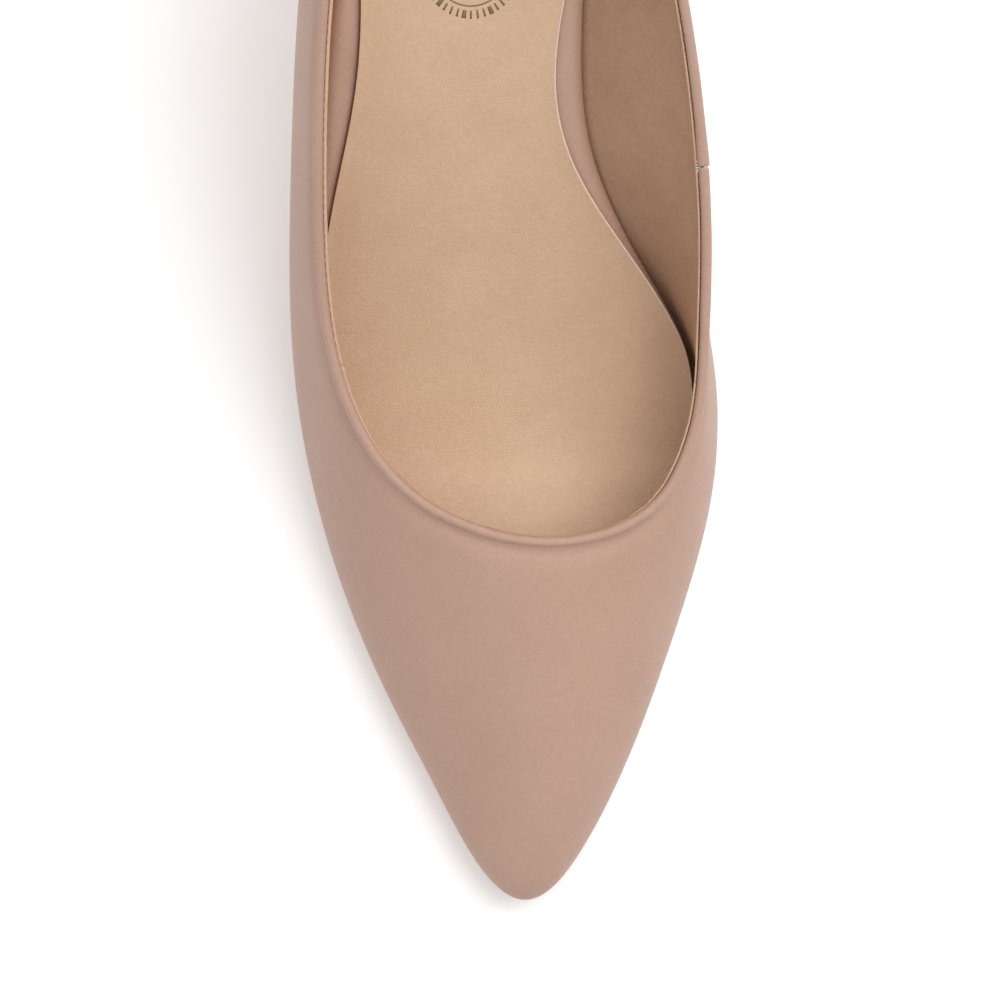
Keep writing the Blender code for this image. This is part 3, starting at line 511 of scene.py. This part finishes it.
for names, material in (
        (("insole_board",), fibreboard), (("bottom_filler",), cork), (("steel_shank",), spring_steel),
        (("shank_rivet_front", "shank_rivet_rear"), brass), (("heel_block",), abs_plastic),
        (("heel_tube", "heel_tip_pin", "heel_screw"), bright_steel),
        (("heel_nail_1", "heel_nail_2", "heel_nail_3", "heel_nail_4"), bright_steel),
        (("topline_tape",), tape_cloth)):
    for node in names:
        NODES[node].data.materials.clear()
        NODES[node].data.materials.append(material)
        print(node, "->", material.name)

# %% [markdown]
# ## The upper
# Two pieces of nappa, the vamp and the medial quarter, are joined by a closed seam on the arch side
# and one at the back.  The top edge is skived thin, folded over a tape and hammered, so it stands
# as a soft roll with a shallow valley below it.  Under the foot, 12 mm of it is glued to the insole.
#
# Each piece is one grid.  Its rows run from the margin under the foot, up the wall, over the roll
# and down inside.  Columns crowd near the seams, where the leather rounds into the join.

# %% Columns and seams
SEAM_HALF = 0.004           # half the gap of a seam, in stations
SEAM_ROUND = 0.55           # radius of the rounding at a seam, in millimetres


def columns(start, end, step=0.06, crowd=True, gap=None):
    """Positions from end back to start, so that the faces of a wall look away from the foot."""
    even = np.linspace(start, end, int(round((end - start) / step)) + 1)[1:-1]
    near = np.array((0.0, 0.004, 0.009, 0.015, 0.022, 0.03, 0.04)) if crowd else np.zeros(1)
    toe = np.arange(-1.0, 1.0, 0.03)
    toe = toe[(toe > start) & (toe < end)]
    gap = SEAM_HALF if gap is None else gap
    steps = np.concatenate([start + gap + near, even, end - gap - near, toe])
    return np.unique(np.round(steps, 5))[::-1]


def seam_dip(u, start, end):
    """r (1 - sqrt(1 - k^2)), k = 1 - d/r, at d millimetres from a seam: the leather turns in."""
    distance = np.minimum(u - start, end - u) * STATION_MM
    k = np.clip(1 - distance / SEAM_ROUND, 0, 1)
    return SEAM_ROUND * (1 - np.sqrt(1 - k * k))


def unevenness(u, size, phase):
    """A slow wander by hand work: size (sin 2.3u + 0.6 sin 5.1u + 0.4 sin 9.7u) / 2."""
    return size * (np.sin(2.3 * u + phase) + 0.6 * np.sin(5.1 * u + 2 * phase)
                   + 0.4 * np.sin(9.7 * u + 3 * phase)) / 2


# %% Upper
VALLEY_DEPTH, VALLEY_WIDTH = 0.54, 2.0      # millimetres, below the roll
STRETCH = np.concatenate([np.linspace(0, 0.12, 7)[1:], np.linspace(0.12, 0.76, 24)[1:],
                          np.linspace(0.76, 1.0, 32)[1:-1]])


def upper_grid(start, end):
    """Rows: margin under the foot, wall with its valley, roll of radius r (cos, sin), and inner face."""
    u = columns(start, end)
    dip = seam_dip(u, start, end)
    seam_swell = 0.16 * np.exp(-((u - SIDE_SEAM) / 0.3)**2) * (start == BACK_SEAM)
    radius = FOLD_RADIUS * (1 + unevenness(u, 0.05, 1.0) + seam_swell)
    rows = [under(u, reach, 0.0) for reach in (12.0, 8.0, 5.0, 3.0, 1.6, 0.7)]
    rows.append(wall(u, 0.0))
    top = wall(u, 1.0)
    for t in STRETCH:
        away = np.linalg.norm(wall(u, t) - top, axis=-1)
        valley = VALLEY_DEPTH * np.exp(-((away - 0.2) / VALLEY_WIDTH)**2)
        rows.append(inside(u, t, valley + dip * min(1.0, t * 8)))
    for angle in np.radians(np.linspace(-62, 180, 21)):
        reach = radius - dip
        rows.append(at_topline(u, reach * math.cos(angle), reach * math.sin(angle)))
    for drop in (-0.8, -2.0, -4.0):
        rows.append(at_topline(u, -radius + dip - 0.02, drop))
    factors = np.full((len(rows), len(u)), 1.0)
    factors[-25:] = 0.5
    factors[-26], factors[-27], factors[-28] = 0.6, 0.75, 0.9
    return np.array(rows), factors


for name, stands_for, start, end in (("vamp_leather", "vamp", SIDE_SEAM - LOOP, BACK_SEAM),
                                     ("medial_quarter_leather", "medial_quarter", BACK_SEAM, SIDE_SEAM)):
    grid, factors = upper_grid(start, end)
    piece = add_piece(name, grid, grid_faces(*grid.shape[:2]), [stands_for], "nappa_upper", nappa)
    thicken(piece, UPPER_THICK, factors)

# %% [markdown]
# ## Linings
# The lining lies against the stiffeners and is stitched to the fold.  It is trimmed by hand just
# above the stitches, so its pale raw edge runs along the inside of the roll and wavers a little.
# That edge is the rim of the Solidify, in its own material.

# %% Linings
EDGE_OUT, EDGE_UP = -1.13, -0.22         # where the cut edge stands, from the middle of the roll
THROAT_PEEP = 0.75                       # how much further it peeps out at the throat, in millimetres
LINING_GAP = 0.0006                      # half the gap where two linings butt, in stations


def edge_height(u):
    """Height of the cut edge over the roll's middle: it peeps out further round the throat."""
    throat = smooth((np.cos(2 * np.pi * (np.asarray(u, float) + 1.5) / LOOP) - 0.35) / 0.45)
    return EDGE_UP + THROAT_PEEP * throat


def lining_grid(start, end):
    """Rows: margin, wall at the lining's depth, then an ease towards the cut edge by the roll."""
    u = columns(start, end, 0.06, crowd=False, gap=LINING_GAP)
    height = UPPER_THICK + 0.3
    rows = [under(u, 10.5, height), under(u, 5.0, height), under(u, 2.6, height)]
    waver = unevenness(u * 4.0, 0.11, 0.3) + unevenness(u * 11.0, 0.05, 1.3)
    for t in np.concatenate([np.linspace(0.13, 0.8, 26), np.linspace(0.82, 0.97, 8)]):
        close = smooth((t - 0.72) / 0.22)
        puff = unevenness(u * 1.7 + 3 * t, 0.12, 0.5) * (1 - close)
        rows.append(inside(u, t, LINING_DEPTH + (-EDGE_OUT + 0.45 - LINING_DEPTH) * close + puff))
    for drop in (0.75, 0.35, 0.0):
        rows.append(at_topline(u, EDGE_OUT - 0.02, edge_height(u) + waver - drop))
    outer = np.mod(u, LOOP)
    lateral = smooth(outer / 2) * smooth((BACK_SEAM - outer) / 2)
    factors = np.ones((len(rows), len(u)))
    factors[-5:] = 0.55 + 0.5 * lateral
    return np.array(rows), factors


for name, stands_for, start, end in (
        ("vamp_lining_leather", "vamp_lining", LINING_SEAM_MEDIAL - LOOP, LINING_SEAM_LATERAL),
        ("quarter_lining_leather", "quarter_lining", LINING_SEAM_LATERAL, LINING_SEAM_MEDIAL)):
    grid, factors = lining_grid(start, end)
    piece = add_piece(name, grid, grid_faces(*grid.shape[:2]), [stands_for], "lining_leather",
                      goat_lining, cut_edge)
    thicken(piece, LINING_THICK, factors, rim=1)

# %% [markdown]
# ## Stiffeners between upper and lining
# A toe puff keeps the point, a counter holds the heel, and cotton backing fills in between.  They
# are sheets at a depth of 1.3 mm, made by the same function as the wall.

# %% Stiffeners
STIFF_DEPTH, STIFF_THICK, STIFF_FOOT = 1.3, 0.7, 0.09
PUFF_HALF, PUFF_TOP, BACKING_TOP, COUNTER_TOP = 2.9, 0.40, 0.86, 0.80
COUNTER_START, COUNTER_END = 9.5, 18.3


def cut_size(grid):
    """Longest row, longest column and area of a grid of points: the cut that covers it unstretched."""
    along, across = np.diff(grid, axis=1), np.diff(grid, axis=0)
    longest = np.linalg.norm(along, axis=-1).sum(1).max()
    highest = np.linalg.norm(across, axis=-1).sum(0).max()
    cells = np.linalg.norm(np.cross(along[:-1], across[:, :-1]), axis=-1)
    return float(longest), float(highest), float(cells.sum())


for name, slot, material, start, end, low, high in (
        ("toe_puff", "stiffener", toe_sheet, -PUFF_HALF, PUFF_HALF, STIFF_FOOT, PUFF_TOP),
        ("heel_counter", "stiffener", leatherboard, COUNTER_START, COUNTER_END, STIFF_FOOT, COUNTER_TOP),
        ("vamp_backing", "backing_cloth", cotton, -PUFF_HALF, PUFF_HALF, PUFF_TOP + 0.03, BACKING_TOP),
        ("quarter_backing_lateral", "backing_cloth", cotton, PUFF_HALF + 0.1, COUNTER_START - 0.1,
         STIFF_FOOT, BACKING_TOP),
        ("quarter_backing_medial", "backing_cloth", cotton, COUNTER_END - LOOP + 0.1, -PUFF_HALF - 0.1,
         STIFF_FOOT, BACKING_TOP)):
    u = columns(start, end, 0.125, crowd=False)
    grid = inside(u, np.linspace(low, high, 16)[:, None], STIFF_DEPTH)
    sheet = add_piece(name + "_sheet", grid, grid_faces(*grid.shape[:2]), [name], slot, material)
    thicken(sheet, STIFF_THICK)
    if material is cotton:
        long, high, area = cut_size(grid * MM)
        print(f"{name}: {1000 * high:.0f} x {1000 * long:.0f} mm of cotton, {1e4 * area:.0f} square cm")

# %% [markdown]
# ## The layers under the foot
# Fibreboard, foam, the wrapped cover and the sock are plates that fill the foot's outline.  The
# distance d of each point from the outline shapes its edge: a quarter circle of radius r gives
#
#     height = top - r (1 - sqrt(1 - (1 - d/r)^2))  for d < r.
#
# Columns lie close together along both edges, so that the rounding is smooth.


# %% Plates
def plate(inset, trim, edge_steps, middle=16, row_step=1.6):
    """x, a and d on a grid across the foot.  d is the distance to the outline, from both sides."""
    toe, back, x_at = sides(inset)
    first, last = toe + trim, back - trim
    ends = np.array((0.15, 0.35, 0.6, 0.95, 1.4, 2.0, 2.8))
    even = np.arange(first + 3.6, last - 3.6, row_step)
    rows = np.concatenate([[first], first + ends, even, last - ends[::-1], [last]])
    left, right = x_at(rows)
    width = right - left
    lean = [np.clip(np.hypot(1, np.gradient(edge, rows)), 1, 6) for edge in (left, right)]
    count = len(edge_steps)
    share = np.arange(count) / count / 2
    reach = [np.minimum(np.outer(k, edge_steps), np.outer(width, share)) for k in lean]
    inner = np.linspace(0, 1, middle + 2)[1:-1]
    low, high = left + reach[0][:, -1], right - reach[1][:, -1]
    core = low[:, None] + (high - low)[:, None] * inner
    x = np.concatenate([left[:, None] + reach[0], core, (right[:, None] - reach[1])[:, ::-1]], axis=1)
    d = np.minimum((x - left[:, None]) / lean[0][:, None], (right[:, None] - x) / lean[1][:, None])
    ends_d = np.minimum(rows - first, last - rows)[:, None]
    return x, np.broadcast_to(rows[:, None], x.shape), np.minimum(d, ends_d)


def rounded(d, radius):
    """Drop below the top at distance d from an edge of that radius."""
    k = np.clip(1 - d / radius, 0, 1)
    return radius * (1 - np.sqrt(1 - k * k))


EDGE_WIDTH = 0.26           # of the sock's visible cut edge, in millimetres
EDGE_STEPS = np.array((0.0, 0.06, 0.16, EDGE_WIDTH, 0.5, 0.75, 1.05, 1.4, 1.8, 2.3, 2.9, 3.6))
COVER_BASE, COVER_TOP, COVER_THICK, COVER_ROUND = 4.5, 7.3, 0.6, 2.6
SOCK_TOP, SOCK_THICK = 8.2, 0.6
room = wall_inset(COVER_BASE, COVER_TOP)

# %% [markdown]
# The foam is a real cushion: it is latex, crowned in the middle and thin at its rim.  It is made
# directly rather than by a cloth simulation, because it is glued flat between board and cover and
# can't take any shape of its own.

# %% Foam and wrapped cover
x, a, d = plate(room + COVER_THICK + 1.8, 1.5, EDGE_STEPS)
FOAM_TOP, FOAM_THICK = 6.4, 1.3
top = lifted(x, a, FOAM_TOP - rounded(d, 1.1))
foam = add_piece("insole_foam_pad", top, grid_faces(*top.shape[:2]), ["insole_foam"], "foam", latex_foam)
thicken(foam, FOAM_THICK, np.clip(0.25 + smooth(d / 1.4) * 0.75, 0, 1))

x, a, d = plate(room + 0.9, 0.12, EDGE_STEPS, 30, 1.2)
ripple = unevenness(a / 9.0 + x / 13.0, 0.05, 0.8) * smooth(d / 3.0)
top = lifted(x, a, COVER_TOP - rounded(d, COVER_ROUND) + ripple - 0.05)
wrap = add_piece("insole_wrap", top, grid_faces(*top.shape[:2]), ["insole_cover"], "insole_leather",
                 wrap_nappa)
thicken(wrap, COVER_THICK)


# %% [markdown]
# The sock is the tan leather that the wearer sees.  It stops short of the wrapped edge, most of all
# at the waist, where the wrap shows as a strip.  Its edge is cut square, with light painted on it:
# pale with a painted highlight on the arch side, which faces the light, and a dark painted shade on
# the outer side, which faces away from it.

# %% Sock
def sock_inset():
    """The cover's outline moved in: 1.3 + 7 exp(-((a-156)/29)^2), outside 1.9 + 5.8 exp(-((a-163)/30)^2)."""
    along = loops(ALL_ROUND)[0][:, 1]
    medial = 1.3 + 7.0 * np.exp(-((along - 156.0) / 29.0)**2)
    lateral = 1.9 + 5.8 * np.exp(-((along - 163.0) / 30.0)**2)
    return wall_inset(COVER_TOP, SOCK_TOP) + np.where(ALL_ROUND > BACK_SEAM, medial, lateral)


def sock_height(x, a):
    """Height of the sock's face: its top with faint waves pressed in by gluing."""
    return SOCK_TOP - 0.1 + unevenness(a / 11.0 - x / 17.0, 0.06, 0.2)


x, a, d = plate(sock_inset(), 1.2, EDGE_STEPS, 36, 1.2)
curl = 0.18 * np.exp(-(d / 1.2)**2)
top = lifted(x, a, sock_height(x, a) + curl - rounded(d, EDGE_WIDTH) * 0.9)
sock = add_piece("sock_leather", top, grid_faces(*top.shape[:2]), ["sock_lining"], "sock_leather",
                 sock_leather, pale_edge_with_painted_highlight, painted_shade_edge)
# Painted light on the sock's cut edge, chosen by side: the pale edge with a painted highlight on the arch
# side, which faces the light, and the dark painted shade on the outer side.
edge = (d[:-1, :-1] + d[1:, 1:]) / 2
lit_medial_side = x[:-1, :-1] > sum(foot_sides(a[:-1, :-1])) / 2
index = np.where(edge < EDGE_WIDTH, np.where(lit_medial_side, 1, 2), 0)
sock.data.polygons.foreach_set("material_index", index.ravel().astype(np.int32))
thicken(sock, SOCK_THICK)

# %% [markdown]
# A round mark is pressed into the heel of the sock in olive foil.  Here it is a plain ring of ticks,
# like a dial.  Each tick is a small patch laid on the sock by its own height function.

# %% Ring of ticks
MARK_X, MARK_A, MARK_OUTER, MARK_INNER, MARK_TICKS = -6.4, 179.0, 9.4, 8.0, 44
FILM = 0.03                 # millimetres that the foil stands over the sock


def on_sock(radius, turn, lift):
    """A point of the sock at a radius and angle from the mark's centre."""
    x, a = MARK_X + radius * np.cos(turn), MARK_A + radius * np.sin(turn)
    return lifted(x, a, sock_height(x, a) + lift)


turn = np.arange(MARK_TICKS) * 2 * np.pi / MARK_TICKS
half_width = np.where(np.arange(MARK_TICKS) % 4 == 0, 0.045, 0.022)
across = turn[:, None, None] + half_width[:, None, None] * np.array((-1, 0, 1.0))[None, None, :]
radius = np.linspace(MARK_INNER, MARK_OUTER, 4)[None, :, None]
ticks = on_sock(*np.broadcast_arrays(radius, across), FILM)
tick_faces = (grid_faces(4, 3)[None, :, ::-1] + 12 * np.arange(MARK_TICKS)[:, None, None]).reshape(-1, 4)
all_turn = np.linspace(0, 2 * np.pi, 97)[:-1]
circle = on_sock(*np.meshgrid(np.array((7.1, 7.35)), all_turn, indexing="ij"), FILM)
circle_faces = grid_faces(2, 96, wrap=True)[:, ::-1] + 12 * MARK_TICKS
mark = add_piece("sock_mark", np.concatenate([ticks.reshape(-1, 3), circle.reshape(-1, 3)]),
                 np.concatenate([tick_faces, circle_faces]), [], "sock_leather", stamp_ink)
thicken(mark, 0.02)

# %% [markdown]
# ## The outsole
# A unit of tan rubber runs from the toe to the heel breast.  It is 2.75 mm thick at the tread and
# skived thinner at the waist.  Its bottom edge is bevelled so that it looks light from the side.

# %% Outsole
HEEL_BREAST = 190.0
toe, back, x_at = sides(np.full(len(ALL_ROUND), 0.5))
rows = np.concatenate([toe + 0.12 + np.array((0, 0.3, 0.7, 1.2, 1.8, 2.5, 3.3)),
                       np.arange(toe + 4.5, HEEL_BREAST - 1.5, 1.5), [HEEL_BREAST - 0.5]])
left, right = x_at(rows)
share = 0.5 - 0.5 * np.cos(np.linspace(0, np.pi, 41))
x = left[:, None] + (right - left)[:, None] * share
grid = lifted(x, rows[:, None], -0.25)
waist = np.broadcast_to(1 - 0.32 * smooth((rows[:, None] - TREAD_END) / 22.0), x.shape)
sole = add_piece("outsole_unit", grid, grid_faces(*grid.shape[:2]), ["outsole"], "outsole_rubber",
                 outsole_stock)
thicken(sole, 2.75, waist)
soften(sole, 0.55, 50.0, 4)

# %% [markdown]
# ## The heel
# The heel block is covered with the upper's nappa.  Each section is a flat breast and a rounded
# back, |cos|^(2/n) across and sin^(2/n) along.  Splines through a few sections give the curve of
# the back and the hollow of the breast.

# %% Heel cover and top piece
HEEL_X, HEEL_COVER_THICK, SEAT_GAP = -4.5, 0.6, 0.15
HEEL_SECTIONS = np.array([          # breast a, z; back a, z; half width; squareness
    (190.0, 62.6, 236.0, 78.3, 24.2, 2.1), (195.0, 57.0, 235.3, 72.5, 20.6, 2.1),
    (200.4, 50.3, 234.0, 64.0, 16.6, 2.15), (206.6, 41.4, 232.0, 52.0, 12.2, 2.2),
    (211.9, 31.0, 229.7, 38.0, 8.7, 2.3), (215.3, 20.5, 227.9, 23.5, 6.5, 2.4),
    (216.9, 12.0, 227.1, 12.6, 5.5, 2.5), (217.2, 6.5, 226.9, 6.5, 5.3, 2.5)])


def heel_rings(levels, around=96, breast=24):
    """Sections at levels 0 (seat) to 7 (top piece), each a rounded back and a nearly flat breast."""
    knots = np.arange(len(HEEL_SECTIONS))
    spline = [open_curve(knots, column, column[1] - column[0], column[-1] - column[-2])
              for column in HEEL_SECTIONS.T]
    front, front_z, rear, rear_z, width, square = (curve(levels)[:, None] for curve in spline)
    angle = np.linspace(0, np.pi, around)[None, :]
    side = np.sign(np.cos(angle)) * np.abs(np.cos(angle))**(2 / square)
    depth = np.sin(angle)**(2 / square)
    flat_x = np.linspace(-1, 1, breast + 2)[None, 1:-1] * np.ones_like(front)
    bow = 0.02 * (1 - flat_x**2)
    x = np.concatenate([width * side, width * flat_x], axis=1)
    share = np.concatenate([depth, bow], axis=1)
    a = front + (rear - front) * share
    z = front_z + (rear_z - front_z) * share
    seat = smooth(1 - levels[:, None] / 2) * (bottom(a[:1]) - SEAT_GAP - z[:1])
    return np.stack([HEEL_X + x, a, z + seat], -1)


levels = np.linspace(0, len(HEEL_SECTIONS) - 1, 90)
rings = heel_rings(levels)
faces = grid_faces(*rings.shape[:2], wrap=True)[:, ::-1]
heel = add_piece("heel_leather", rings, faces, ["heel_cover"], "heel_leather", heel_nappa)
thicken(heel, HEEL_COVER_THICK)


def closed_stack(rings):
    """Points and outward faces of rings stacked downwards, with a fan to the middle at both ends."""
    count, around = rings.shape[:2]
    points = np.concatenate([rings.reshape(-1, 3), rings[[0, -1]].mean(1)])
    i = np.arange(around)
    j = (i + 1) % around
    first = np.stack([i, j, np.full(around, count * around)], -1)
    last = np.stack([i, j, np.full(around, count * around + 1)], -1) + np.array(
        ((count - 1) * around, (count - 1) * around, 0))
    return points, (grid_faces(count, around, wrap=True)[:, ::-1].tolist() + first.tolist()
                    + last[:, ::-1].tolist())


foot = heel_rings(np.array([float(len(HEEL_SECTIONS) - 1)]))[0]
stack = []
for shrink, height in ((0.12, 6.2), (0.0, 6.1), (0.0, 4.6), (0.03, 4.5), (0.0, 4.4), (0.0, 0.7),
                       (0.02, 0.4), (0.05, 0.15), (0.1, 0.0)):
    ring = foot.copy()
    ring[:, :2] = foot[:, :2].mean(0) + (foot[:, :2] - foot[:, :2].mean(0)) * (1 - shrink)
    ring[:, 2] = height
    stack.append(ring)
points, faces = closed_stack(np.array(stack))
add_piece("top_piece", points, faces, ["heel_tip"], "tip_rubber", tip_rubber)

# %% [markdown]
# ## Thread
# A lockstitch runs between the roll and the lining's edge, one stitch about every 2.1 mm.  A stitch
# is a small ring-by-ring spindle that dips at both ends.  All of them are made at once: an array of
# middles and directions, times one array that describes a single stitch.


# %% Stitches
def spindles(middle, ahead, up, length, thickness, sides_count=6):
    """Stitch k, ring s: middle + s L/2 ahead - 0.35 T s^4 up + T/2 (1 - s^6)^(1/2) (cos, sin)."""
    across = np.cross(ahead, up)
    s = np.array((-1.0, -0.85, -0.5, 0.0, 0.5, 0.85, 1.0))
    swell = np.sqrt(np.clip(1 - s**6, 0.02, 1))
    angle = np.arange(sides_count) * 2 * np.pi / sides_count
    line = middle[:, None] + ahead[:, None] * (s * length / 2)[None, :, None]
    line = line - up[:, None] * (thickness * 0.9 * s**4)[None, :, None]
    around = (across[:, None, None] * np.cos(angle)[None, None, :, None]
              + up[:, None, None] * np.sin(angle)[None, None, :, None])
    points = line[:, :, None] + around * (swell * thickness / 2)[None, :, None, None]
    count, rings_count = len(middle), len(s)
    one = grid_faces(rings_count, sides_count, wrap=True)[:, ::-1].tolist()
    last = (rings_count - 1) * sides_count
    one += [list(range(sides_count)), list(range(last, last + sides_count))[::-1]]
    size = rings_count * sides_count
    faces = [[v + k * size for v in face] for k in range(count) for face in one]
    return points.reshape(-1, 3), faces


def unit(vectors):
    """Vectors scaled to length one."""
    return vectors / np.linalg.norm(vectors, axis=-1, keepdims=True)


STITCH_PITCH, STITCH_LENGTH, THREAD = 2.1, 1.7, 0.30       # millimetres
STITCH_OUT, STITCH_UP = -1.08, -0.22     # the line of the stitches, from the middle of the roll
fine = np.linspace(0, LOOP, 6000)
line = at_topline(fine, STITCH_OUT, STITCH_UP)
run = np.concatenate([[0], np.cumsum(np.linalg.norm(np.diff(line, axis=0), axis=1))])
stitch_count = int(round(run[-1] / STITCH_PITCH))
u = np.interp((np.arange(stitch_count) + 0.5) * run[-1] / stitch_count, run, fine)
middle = at_topline(u, STITCH_OUT, STITCH_UP)
ahead = unit(at_topline(u + 0.01, STITCH_OUT, STITCH_UP) - at_topline(u - 0.01, STITCH_OUT, STITCH_UP))
up = unit(at_topline(u, -1.3, 1.0) - at_topline(u, -1.0, 0.0))
up = unit(up - ahead * (up * ahead).sum(-1, keepdims=True))
points, faces = spindles(middle, ahead, up, STITCH_LENGTH, THREAD)
add_piece("topline_stitches", points, faces, ["topline_thread"], "thread", dark_thread)
print("stitches:", stitch_count)

# %% [markdown]
# At the top of the side seam the thread ends in a tiny bar tack: three short white turns and two
# loose ends.

# %% Bar tack
knot_u = np.full(5, SIDE_SEAM) + np.array((-0.022, 0.0, 0.022, -0.05, 0.045))
knot_out = np.array((-1.15, -1.2, -1.15, -1.05, -1.3))
middle = at_topline(knot_u, knot_out, 0.28)
forward = unit(at_topline(knot_u + 0.01, knot_out, 0.28) - at_topline(knot_u - 0.01, knot_out, 0.28))
outward = unit(at_topline(knot_u, knot_out + 1, 0.28) - middle)
ahead = unit(outward + forward * np.array((0.2, -0.1, 0.1, 1.4, -1.1))[:, None])
up = unit(at_topline(knot_u, knot_out, 1.28) - middle)
up = unit(up - ahead * (up * ahead).sum(-1, keepdims=True))
points, faces = spindles(middle, ahead, up, 0.75, 0.15)
add_piece("seam_bar_tack", points, faces, ["side_seam_bartack"], "light_thread", white_thread)

# %% [markdown]
# ## Floor and light
# A white table, one large soft light high on the arch side, and a pale room all round.  The light
# leaves a soft grey shadow on the outer side of the shoe.  The Standard view shows colours as they
# were given.

# %% Floor
TABLE_GLOW = 0.15           # light that comes through the table from below

floor_mesh = bpy.data.meshes.new("floor")
FLOOR_HALF = 8.0            # metres
corners = [(x * FLOOR_HALF, y * FLOOR_HALF, 0) for x, y in ((-1, -1), (1, -1), (1, 1), (-1, 1))]
floor_mesh.from_pydata(corners, [], [(0, 1, 2, 3)])
floor = bpy.data.objects.new("floor", floor_mesh)
bpy.context.scene.collection.objects.link(floor)
table_white = grained("white_light_table", "#FAFAFA", "#F8F8F8", 40.0, 0.0, 0.9)
table_white.node_tree.nodes["Principled BSDF"].inputs["Emission Color"].default_value = (1.0, 1.0, 1.0, 1.0)
table_white.node_tree.nodes["Principled BSDF"].inputs["Emission Strength"].default_value = TABLE_GLOW
floor_mesh.materials.append(table_white)

# %% Lights
ROOM, ROOM_SIDE, ROOM_TOP = 0.45, 0.22, 0.66   # the room's glow: everywhere, more on the left, more above


def area_light(name, spot, aim, size, watts, colour):
    """A square light at spot that looks at aim."""
    data = bpy.data.lights.new(name, "AREA")
    data.shape, data.size, data.energy, data.color = "SQUARE", size, watts, colour
    lamp = bpy.data.objects.new(name, data)
    ray = np.array(aim, float) - np.array(spot, float)
    yaw, pitch = math.atan2(ray[1], ray[0]), math.atan2(math.hypot(ray[0], ray[1]), -ray[2])
    lamp.location, lamp.rotation_euler = spot, (pitch, 0.0, yaw - math.pi / 2)
    bpy.context.scene.collection.objects.link(lamp)
    return lamp


area_light("key", (0.40, 0.29, 1.0), (0.0, -0.04, 0.03), 0.8, 8.2, (1.0, 1.0, 1.0))
world = bpy.data.worlds.new("studio")
bpy.context.scene.world = world
world.use_nodes = True
sky = world.node_tree
axes = add_node(sky, "ShaderNodeSeparateXYZ", {0: add_node(sky, "ShaderNodeTexCoord").outputs["Generated"]})
side = ramp(sky, axes.outputs["X"], 0.0, -1.0, ROOM, ROOM + ROOM_SIDE)
high = add_node(sky, "ShaderNodeMath", {0: axes.outputs["Z"], 1: 4.0}, operation="POWER").outputs[0]
glow = add_node(sky, "ShaderNodeMath", {0: high, 1: ROOM_TOP, 2: side}, operation="MULTIPLY_ADD").outputs[0]
seen = add_node(sky, "ShaderNodeLightPath").outputs["Is Camera Ray"]
level = add_node(sky, "ShaderNodeMix", {0: seen, 2: glow, 3: 1.0}).outputs[0]
sky.links.new(level, sky.nodes["Background"].inputs["Strength"])
sky.nodes["Background"].inputs["Color"].default_value = (1.0, 1.0, 1.0, 1.0)
bpy.context.scene.view_settings.view_transform = "Standard"
